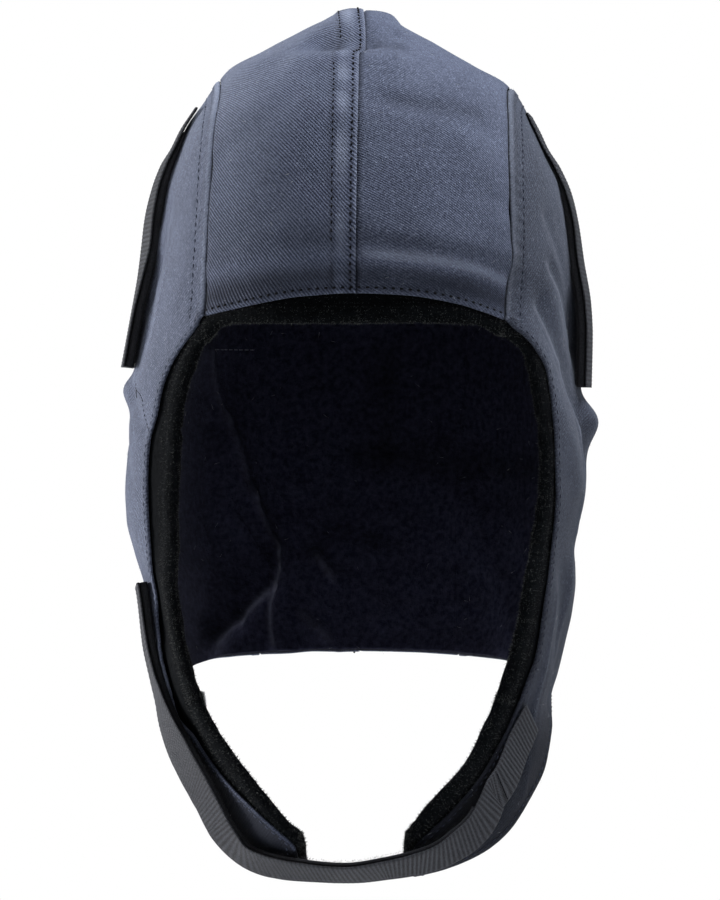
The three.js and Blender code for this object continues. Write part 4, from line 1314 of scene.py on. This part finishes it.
def crown_shell(side):
    node = f"crown_panel_{SIDES[side]}"
    sheet = ragged(crown_main[side])
    points, cloth = sheet["points"], sheet["cloth"]
    outward = outward_at(points)
    edges = {"brow": forehead_line, "nape": nape_line, "seam": lines[side]["seam"]}
    ways = {edge: distance_to(points, line) for edge, line in edges.items()}
    ways["centre"] = (cloth[:, 0], cloth[:, 1])
    from_brow, from_nape, from_seam, from_centre = (way[0] for way in ways.values())
    relief = folded(points, BROW + DENTS, seed=side) + grooves(CROWN_ROWS[side], ways)
    relief -= 0.85 * (1 - smooth(from_seam, 0.2, 1.7))
    relief += 0.22 * (1 - smooth(from_brow, 1.6, 3.2)) + 0.25 * (1 - smooth(from_nape, 3, 6))
    tone = shades(BOTH_CROWN_TONES + CROWN_TONES[side], ways)
    holes = 0.5 + 0.5 * np.cos(2.1 * ways["brow"][1])
    # Painted highlight along the brow, stronger on the right, with darker stitch holes in the brow row.
    painted_highlight_weight = 0.35 + 0.65 * smooth(points[:, 0], -5, 12)
    tone += 0.66 * band(from_brow, 13, 2.6) * painted_highlight_weight - 0.4 * band(from_brow, BROW_ROW, 0.5) * holes
    # Painted shade in the dents of the upper crown.
    tone += 0.3 * folds_at(points, DENTS)
    # Painted shade low on the crown's front, at the brow.
    tone -= 0.3 * smooth(-points[:, 2], 58, 92) * smooth(-points[:, 1], 20, 60)
    if side < 0:
        relief += LAP_RISE * (1 - smooth(from_centre, LAP_WIDTH - 0.6, LAP_WIDTH + 1.2))
        relief += 0.24 * waves(cloth[:, 1], 4.1, 9) * band(from_centre, 4.5, 3)
        relief -= 0.4 * (1 - smooth(from_centre, 0, 0.7))
        # Painted light and shade in bands across the lap's puckers.
        tone += 0.16 * waves(cloth[:, 1], 21, 13, 1.7) * band(from_centre, 4.8, 3)
    else:
        relief -= 0.75 * (1 - smooth(from_centre, 0, 1.6))
    placed = points + outward * relief[:, None]
    if side < 0:
        placed += reach_over(points, crown_main[1][:, 0], 0.95, 3.2)
    placed[:, 0] += seam_wander(points)
    placed[:, 2] -= brow_sag(points)
    edge = np.minimum(from_brow, from_nape)
    flat = cloth * np.array([side, 1])
    made, shown, area = shell_panel(node, sheet, placed, outward, edge, flat, tone, CROWN_TWILL[side])
    shell_lint(node, shown, outward, 150, 60 + side)
    return {"base": points, "shown": shown}


def side_shell(side):
    node = f"side_panel_{SIDES[side]}"
    sheet = ragged(*side_parts[side])
    points = sheet["points"]
    outward = outward_at(points)
    ways = {edge: distance_to(points, line) for edge, line in lines[side].items()}
    from_seam, from_face, from_hem = (way[0] for way in ways.values())
    relief = folded(points, SIDE_FOLDS[side] + CREASES, seed=side) + grooves(SIDE_ROWS, ways)
    relief += LAP_RISE * (1 - smooth(from_seam, 2.4, 3.6))
    relief += 0.26 * waves(ways["seam"][1], 4.6, 11) * band(from_seam, 4.0, 3.2)
    for edge, middle in (("face", FACE_ROW), ("hem", HEM_ROW)):
        away, at = ways[edge]
        relief += 0.25 * (1 - smooth(away, middle - 0.2, middle + 1.4))
        relief += 0.08 * waves(at, 4.4, 9) * band(away, middle, 2)
    ahead, below = -points[:, 1], -points[:, 2]
    # Painted shade on the low cloth and the flaps in front; on the left flap a painted highlight along the
    # face edge, kept out of that shade.
    flap_shade = FLAP_SHADE[side] * smooth(below, 232, 258)
    tone = shades(SIDE_TONES, ways) - 0.3 * (1 - smooth(from_face, 0.5, 4.5))
    if side < 0:
        lit_edge = band(from_face, 0.4, 0.8)
        flap_shade *= 1 - lit_edge
        tone += 0.6 * lit_edge * smooth(below, 205, 235) * (1 - smooth(below, 248, 264))
    tone -= (LOW_SHADE[side] * smooth(below, 110, 215) + flap_shade) * smooth(ahead, -15, 30)
    tone += 0.34 * folds_at(points, CREASES)
    placed = points + outward * relief[:, None] + reach_over(points, crown_main[side][:, -1], 0.75, 3.2)
    placed[:, 2] -= brow_sag(points)
    edge = np.minimum(np.minimum(from_face, from_hem), from_seam)
    flat = np.stack([np.radians(turn_of(points)) * UNROLLED_RADIUS, below], axis=-1)
    made, shown, area = shell_panel(node, sheet, placed, outward, edge, flat, tone, SIDE_TWILL[side])
    shell_lint(node, shown, outward, 200, 70 + side)
    return {"base": points, "shown": shown}


def crown_lining_grid():
    left, right = (crown_grid(side, forehead_rim, 0.0, LINING_STEP) for side in SIDES)
    return np.concatenate([left[:, :0:-1], right], axis=1)


def side_lining_grid(side):
    return side_grid(
        side, rim_curves[side], RIM_CORNER[side], LINING_GAP, LINING_STEP, lead=RIM_LEAD, tip=True
    )


lining_grids = {"crown": crown_lining_grid(), **{side: side_lining_grid(side) for side in SIDES}}


def rim_lines():
    """The soft edge of the lining all round the face opening, as a few lines of points."""
    parts = [lining_grids["crown"][0]]
    for side in SIDES:
        main, flap = lining_grids[side]
        front = np.vstack([main[:, 0], flap[:, 0]])
        parts.append(front[front[:, 2] <= RIM_CORNER[side] + 0.02])
        parts.append(flap[-1])
    return parts


rim_parts = rim_lines()


def nearest_rim(points):
    """Distance from each point to the rim, and the place along it."""
    away, places = (np.array(part) for part in zip(*(distance_to(points, part) for part in rim_parts)))
    best = away.argmin(axis=0)
    return away.min(axis=0), np.take_along_axis(places, best[None], axis=0)[0]


def rim_fuzz(name, skin, normals, near, dice):
    """The short fibres of the pile on the lining's rim."""
    rim = np.flatnonzero(near < RIM_HAIR_REACH)
    chosen = dice.choice(rim, min(RIM_HAIRS, 3 * len(rim)))
    out = normals[chosen]
    lean = unit(out + 0.55 * dice.normal(size=out.shape))
    roots = skin[chosen] + 0.55 * dice.normal(size=out.shape) * (1 - np.abs(out)) - 0.25 * out
    lengths = dice.uniform(0.5, 1.25, len(chosen))
    hairs(f"rim_fuzz_{name}", roots, lean, lengths, RIM_FUZZ, 0.1)


def lining_piece(name, sheet):
    points = sheet["points"]
    outward = outward_at(points)
    away, at = nearest_rim(points)
    sunk = [fold for fold in BROW + DENTS + SIDE_FOLDS[-1] + SIDE_FOLDS[1] if fold[4] < 0]
    placed = points + outward * folded(points, sunk, seed=5)[:, None]
    creased = folds_at(points, NAPE_FOLDS)
    fleece = pile_lumps(points)
    pads = 0.1 * waves(at, 9.5, 17, 1.3) * band(away, 3, 3)
    roll = ROLL_SHARE * RIM_ROLL_RISE * np.sin(np.pi * np.clip(away / RIM_ROLL_WIDTH, 0, 1) ** 0.6)
    middle = SHELL_THICKNESS + LAYER_GAP + RIM_HALF
    swell = np.sqrt(1 - (1 - np.clip(away / 3.4, 0, 1)) ** 2)
    rim = 1 - smooth(away, 4.5, 7)
    out_depth = middle - swell * (RIM_HALF + 0.5 * rim)
    in_depth = np.maximum(middle + swell * (LINING_THICKNESS - RIM_HALF + roll), out_depth + 0.25)
    out_depth -= rim * (fleece + pads) * 0.6 + np.minimum(creased, 0)
    in_depth += fleece + pads * 0.8 - np.minimum(creased, 1.4)
    outer, inner = placed - outward * out_depth[:, None], placed - outward * in_depth[:, None]
    # Tone: near black at the rim, painted highlights and painted shade along the folds, and painted light
    # on the left wall.
    tone = 1 - smooth(away, 12, 19) - 0.75 * folds_at(points, NAPE_PAINTED_LIGHT_AND_SHADE)
    tone -= 0.26 * band(turn_of(points), -118, 14) * smooth(away, 19, 26)
    plain = np.ones(len(points))
    made = closed_sheet(f"{name}_fleece", outer, inner, sheet["quads"], sheet["cloth"], plain, tone)
    dress(made, FLEECE, name)
    normals = np.empty(len(made.data.vertices) * 3, np.float32)
    made.data.vertices.foreach_get("normal", normals)
    normals = normals.reshape(-1, 3).astype(float)
    skin = np.vstack([outer, inner])
    dice = np.random.default_rng(len(points))
    rim_fuzz(name, skin, normals, np.concatenate([away, away]), dice)
    inside = len(points) + np.flatnonzero((away > 24) & (points[:, 1] > 10))
    stray_fibres(name, skin, normals, inside, 60, dice, (1.0, 3.2), 0.12, 0.07, LINT)


def strap_section():
    """The section of a strap as shares of its width and thickness, all the way round."""
    far = [(1 - across, through) for across, through in reversed(SELVEDGE)]
    face = [(0, 0.5), *SELVEDGE, *far]
    return np.array(face + [(1 - across, 1 - through) for across, through in face])


def ribbon_body(name, stations, depth, thickness, rib, rib_pitch):
    """A flat strap between its two edges, with rounded selvedges and ribs across it, and its length."""
    fronts, rears, outs = stations
    across, through = strap_section().T
    count, around = len(fronts), len(across)
    along = walked(fronts[None], 1)[0]
    wave = rib * np.abs(np.sin(np.pi * along / rib_pitch))
    inside = (across > 0.03) & (across < 0.97)
    place = fronts[:, None] + (rears - fronts)[:, None] * across[None, :, None]
    sign = np.where(through < 0.5, 1.0, -1.0) * inside
    drop = depth + thickness * through[None] - (wave[:, None] - rib) * sign[None]
    points = (place - outs[:, None] * drop[..., None]).reshape(-1, 3)
    number = np.arange(count * around).reshape(count, around)
    faces = [quads_of(np.hstack([number, number[:, :1]]))]
    for ring, turn in ((number[0], 1), (number[-1], -1)):
        caps = [(ring[k], ring[k + 1], ring[-1 - k], ring[-k]) for k in range(1, around // 2 - 1)]
        faces.append(np.array(caps)[:, ::turn])
    cloth = np.stack(np.broadcast_arrays(across * STRAP_WIDTH, along[:, None]), axis=-1).reshape(-1, 2)
    # Tone: painted shade on the inner face, paler worn selvedges on the outer face.
    shade = np.where(through > 0.5, -1.0, np.where(inside, 0.0, 0.6))
    return mesh_object(name, points, np.vstack(faces), cloth, np.tile(shade, count)), along[-1]


def strap_layer(node, ending, stations, depth, thickness, ribs):
    """One layer of a strap, with its material."""
    slot, material = STRAP_LAYERS[ending]
    made, length = ribbon_body(f"{node}_{ending}", stations, depth, thickness, *ribs)
    dress(made, material, node)


def tape_layer(node, stations, thickness, width):
    """The hook-and-loop layer on a strap's inner face, a little narrower than the strap."""
    fronts, rears, outs = stations
    inset = (rears - fronts) * TAPE_INSET
    laid = fronts + inset, rears - inset, outs
    depth, width = TAPE_DEPTH - TAPE_SINK, width * (1 - 2 * TAPE_INSET)
    strap_layer(node, "hooks", laid, depth, thickness[:, None], TAPE_RIBS)


def fuzz_on(name, stations, depth, number, seed, length):
    """Short fibres standing on the inner face of a strap's tape."""
    dice = np.random.default_rng(seed)
    row = dice.integers(0, len(stations[0]) - 1, number)
    mix, share = dice.uniform(0, 1, number)[:, None], dice.uniform(0.01, 0.99, number)[:, None]
    front, rear, out = (part[row] * (1 - mix) + part[row + 1] * mix for part in stations)
    out = unit(out)
    roots = front + (rear - front) * share - out * depth
    directions = unit(-out + 0.54 * dice.normal(size=(number, 3)))
    hairs(name, roots, directions, dice.uniform(0.4, 1.0, number) * length, PILE)


def helmet_strap(side):
    word, table = SIDES[side], STRAP_EDGES[side]
    front_curve, rear_curve = curve_of(table, 1), curve_of(table, 2)
    top, low = table[0][0], table[-1][0]

    def edges(height):
        front, rear = front_curve(height), rear_curve(height)
        reach = np.sqrt(STRAP_WIDTH**2 - (rear - front) ** 2)
        start = np.full(height.shape, float(STRAP_FRONT))
        return (
            np.stack([side * front, start, height], axis=-1),
            np.stack([side * rear, start + reach, height], axis=-1),
        )

    def stations(start):
        heights = np.linspace(start, low, int((start - low) / 0.33) + 2)
        fronts, rears = edges(heights)
        rise = edges(heights + 1)[0] - edges(heights - 1)[0]
        outs = unit(np.cross(rears - fronts, rise))
        return fronts, rears, np.where(outs[:, :1] * side < 0, -outs, outs)

    whole = stations(top)
    strap_layer(
        f"helmet_strap_{word}", "webbing", whole, 0, WEBBING_THICKNESS, HELMET_RIBS
    )
    laid = stations(top - 8)
    thickness = np.interp(-laid[0][:, 2], [32, 42, 50, 60], [0.7, 2.0, 2.7, TAPE_THICKNESS + 0.6])
    tape_layer(f"strap_tape_{word}", laid, thickness, STRAP_WIDTH)
    depth = TAPE_DEPTH + TAPE_THICKNESS + 0.2
    fuzz_on(f"strap_tape_pile_{word}", stations(TAPE_TOP), depth, 5000, 40 + side, 1.3)


def chin_strap():
    """The chin strap from the right flap to its free end; its two edges and the way out along it."""
    table = np.array(CHIN_STRAP, float)
    route = place_at(table[:, 0], table[:, 1])
    count = len(table) - 1
    rows = np.arange(count + 1)
    lifts = table[:, 2] - curve_of(CHIN_NEARER, 1)(rows)

    def stations(first):
        coarse = np.linspace(first / count, 1, 8 * (count - first) + 1)
        base = centripetal(route, coarse)
        ahead = centripetal(route, np.minimum(coarse + 0.002, 1))
        tangent = unit(ahead - centripetal(route, coarse - 0.002))
        outward = outward_at(base)
        across = unit(np.cross(outward, tangent))
        across = np.where(across[:, 1:2] < 0, -across, across)
        rear = on_surface(base + across * STRAP_WIDTH)
        middle = on_surface(base + across * STRAP_WIDTH / 2)
        flat = unit(rear - base)
        face = unit(np.cross(flat, tangent))
        face = np.where((face * outward).sum(axis=1, keepdims=True) < 0, -face, face)
        bulge = np.maximum(((middle - base) * face).sum(axis=1), 0)
        relief = np.maximum.reduce([folds_at(p, FOLDS) for p in (base, rear, middle)])
        rise = bulge + relief + np.interp(coarse * count, rows, lifts)
        front = base + face * (rise + WEBBING_THICKNESS)[:, None]
        length = walked(front[None], 1)[0]
        at = np.linspace(0, length[-1], int(length[-1] / 0.34))
        edges = (front, front + flat * CHIN_WIDTH, face)
        fronts, rears, outs = (places_on(part, length, at) for part in edges)
        return fronts, rears, unit(outs)

    whole = stations(0)
    strap_layer("chin_strap", "webbing", whole, 0, WEBBING_THICKNESS, CHIN_RIBS)
    laid = stations(4)
    thickness = np.interp(np.linspace(0, 1, len(laid[0])), [0, 0.5, 0.7, 1], [1.7, 1.7, 2.2, 2.8])
    tape_layer("chin_tape", laid, thickness, CHIN_WIDTH)
    fuzz_on("chin_tape_pile", laid, TAPE_DEPTH + TAPE_THICKNESS - 0.7, 6000, 77, 0.7)
    return whole


def care_label():
    """A bare slip against the inside of the left lining, a little curled."""
    turn, height, width, length, thickness, stand = -66.0, -243.0, 13.0, 16.0, 0.5, 0.4
    base = place_at(np.array([turn]), np.array([height]))
    out = outward_at(base)[0]
    base = base[0] + out * folds_at(base, FOLDS)[0]
    up = unit(np.array([0, 0, 1.0]) - out * out[2])
    along = np.cross(up, out)
    u, v = np.meshgrid(np.linspace(-0.5, 0.5, 15), np.linspace(-0.5, 0.5, 17))
    depth = SHELL_THICKNESS + LAYER_GAP + LINING_THICKNESS + RIM_ROLL_RISE * 0.9 + stand
    depth = depth + 1.1 * (u + 0.5) ** 2 + 0.35 * np.sin(4.2 * v + 0.6)
    flat = base + along * (length * u)[..., None] + up * (width * v)[..., None]
    sheet = ragged(flat - out * depth[..., None])
    outer = sheet["points"]
    inner, tone = outer - out * thickness, np.zeros(len(outer))
    made = closed_sheet("care_label_slip", outer, inner, sheet["quads"], sheet["cloth"], tone)
    dress(made, LABEL, "care_label")


def add_light(name, place, size, power, colour):
    data = bpy.data.lights.new(name, "AREA")
    data.energy, data.color, data.size = power, colour, size
    made = bpy.data.objects.new(name, data)
    made.location = Vector(place)
    made.rotation_euler = (Vector(LIGHT_TARGET) - Vector(place)).to_track_quat("-Z", "Y").to_euler()
    bpy.context.scene.collection.objects.link(made)


def add_camera():
    data = bpy.data.cameras.new("camera")
    data.sensor_fit = "HORIZONTAL"
    data.angle = 2 * math.atan(VIEW_HALF_WIDTH / -CAMERA_PLACE[1])
    camera = bpy.data.objects.new("camera", data)
    camera.location = CAMERA_PLACE
    camera.rotation_euler = (math.pi / 2, 0, 0)
    bpy.context.scene.collection.objects.link(camera)
    bpy.context.scene.camera = camera


def white_for_camera(tree, plain, white, share, surface):
    """Show the stage as white to the camera, while its light on the hood stays the plain shader's."""
    mix = tree.nodes.new("ShaderNodeMixShader")
    for start, end in ((share, mix.inputs[0]), (plain, mix.inputs[1]), (white, mix.inputs[2])):
        tree.links.new(start, end)
    tree.links.new(mix.outputs[0], surface)


def studio():
    """A plain pale room: a soft white world, a pale floor, four soft lights and the photograph's camera."""
    scene = bpy.context.scene
    add_camera()
    world = bpy.data.worlds.new("studio")
    scene.world = world
    world.use_nodes = True
    tree = world.node_tree
    soft, white = tree.nodes["Background"], tree.nodes.new("ShaderNodeBackground")
    for shade in (soft, white):
        shade.inputs["Color"].default_value = (1, 1, 1, 1)
    soft.inputs["Strength"].default_value = WORLD_STRENGTH
    rays = tree.nodes.new("ShaderNodeLightPath").outputs["Is Camera Ray"]
    surface = tree.nodes["World Output"].inputs["Surface"]
    white_for_camera(tree, soft.outputs[0], white.outputs[0], rays, surface)

    corners = np.array([(-1, -1), (1, -1), (1, 1), (-1, 1)]) * FLOOR_REACH
    corners = np.column_stack([corners, np.full(4, FLOOR_HEIGHT)]) / METRES
    floor = mesh_object("floor", corners, np.array([[0, 1, 2, 3]]), rides=False)
    paint = Nodes("floor_paint", 0.9, 0.0, (1, 1, 1))
    grain = paint.noise(40)
    colour = paint.mix(grain, (0.76, 0.76, 0.76), (0.82, 0.82, 0.82))
    floor.data.materials.append(paint.finish(colour, paint.bump(grain, 0.05)))
    share = paint.math("MULTIPLY", paint.node("LightPath", output="Is Camera Ray"), 0.9)
    surface = paint.tree.nodes["Material Output"].inputs["Surface"]
    white_for_camera(paint.tree, paint.shader.outputs[0], paint.node("Emission"), share, surface)

    for light in LIGHTS:
        add_light(*light)
    scene.view_settings.view_transform = "Standard"
    scene.view_settings.look = "None"


def seam_stitches(name, line, distance, shell, keep=None, length=1.35, radius=0.42, material=DARK_THREAD):
    """A stitch row beside one of a panel's edges."""
    row = settled(beside(line, distance, shell["base"]), shell)
    stitches(name, row, material, length, radius, keep)


def on_second_row(points):
    """The second centre row shows only where the photo has it: not near the peak nor at the brow."""
    front, height = points[:, 1] < 0, points[:, 2]
    return ~(front & (height > -10) & (height < -1)) & ~(front & (height < -77))


def lining_dash():
    """A short pale row of stitches high on the inside of the lining, left of the middle."""
    turns = np.linspace(LINING_DASH["from"], LINING_DASH["to"], 60)
    base = place_at(turns, np.full(60, LINING_DASH["height"]))
    depth = SHELL_THICKNESS + LAYER_GAP + LINING_THICKNESS
    sunk = folded(base, NAPE_FOLDS, seed=5) - pile_lumps(base)
    line = base + outward_at(base) * (sunk - depth)[:, None]
    stitches("stitches_lining", line, PALE_THREAD, 2.2, 0.2, lift=-0.1)


def ear_tack(shell):
    """The tack row that gathers the cloth at the left ear, and the small loop at its head."""
    table = np.array(EAR_TACK, float)
    row, _ = along_line(place_at(table[:, 0], table[:, 1]), 0.8)
    turned = np.radians(np.arange(0, 361, 20))
    reach = EAR_LOOP["radius"]
    per_turn = np.degrees(1 / UNROLLED_RADIUS)
    loop = place_at(
        EAR_LOOP["turn"] + 1.3 * per_turn * reach * np.cos(turned),
        EAR_LOOP["height"] + reach * np.sin(turned),
    )
    for name, line, pitch in (("row", row, TACK_PITCH), ("loop", loop, LOOP_PITCH)):
        line = settled(line, shell)
        stitches(f"ear_tack_{name}", line, DARK_THREAD, 1.3, 0.2, pitch=pitch)


def chin_tack(fronts, rears, outs):
    """A close row of stitches across the chin strap, where it leaves the right panel."""
    place = place_at(np.array([CHIN_TACK["turn"]]), np.array([CHIN_TACK["height"]]))
    nearest = int(np.linalg.norm((fronts + rears) / 2 - place, axis=1).argmin())
    shares = np.linspace(0.08, 0.9, 30)[:, None]
    line = fronts[nearest] + (rears[nearest] - fronts[nearest]) * shares + outs[nearest] * 0.12
    stitches("chin_tack", line, DARK_THREAD, 0.95, 0.2, pitch=CHIN_TACK_PITCH)


crowns = {side: crown_shell(side) for side in SIDES}
panels = {side: side_shell(side) for side in SIDES}
lining_piece("lining_crown", ragged(lining_grids["crown"]))
for side, word in SIDES.items():
    lining_piece(f"lining_{word}", ragged(*lining_grids[side]))
for side in SIDES:
    helmet_strap(side)
chin_stations = chin_strap()
care_label()
lining_dash()
ear_tack(panels[-1])
chin_tack(*chin_stations)
centre = crown_main[-1][:, 0]
seam_stitches("stitches_centre_edge", centre, CENTRE_EDGE_ROW, crowns[-1])
seam_stitches("stitches_centre_lap", centre, CENTRE_LAP_ROW, crowns[-1], keep=on_second_row, radius=0.33)
for side, word in SIDES.items():
    fine_row = {"radius": 0.26, "material": THREAD[side]}
    brow, nape = crown_main[side][0], crown_main[side][-1]
    seam_stitches(f"stitches_forehead_{word}", brow, BROW_ROW, crowns[side])
    seam_stitches(f"stitches_nape_{word}", nape, NAPE_ROW, crowns[side], length=1.9, **fine_row)
    for edge, distance in (("seam", SEAM_ROW), ("face", FACE_ROW), ("hem", HEM_ROW)):
        row_name = f"stitches_{edge}_{word}"
        seam_stitches(row_name, lines[side][edge], distance, panels[side], length=1.8, **fine_row)
studio()

bpy.context.view_layer.update()
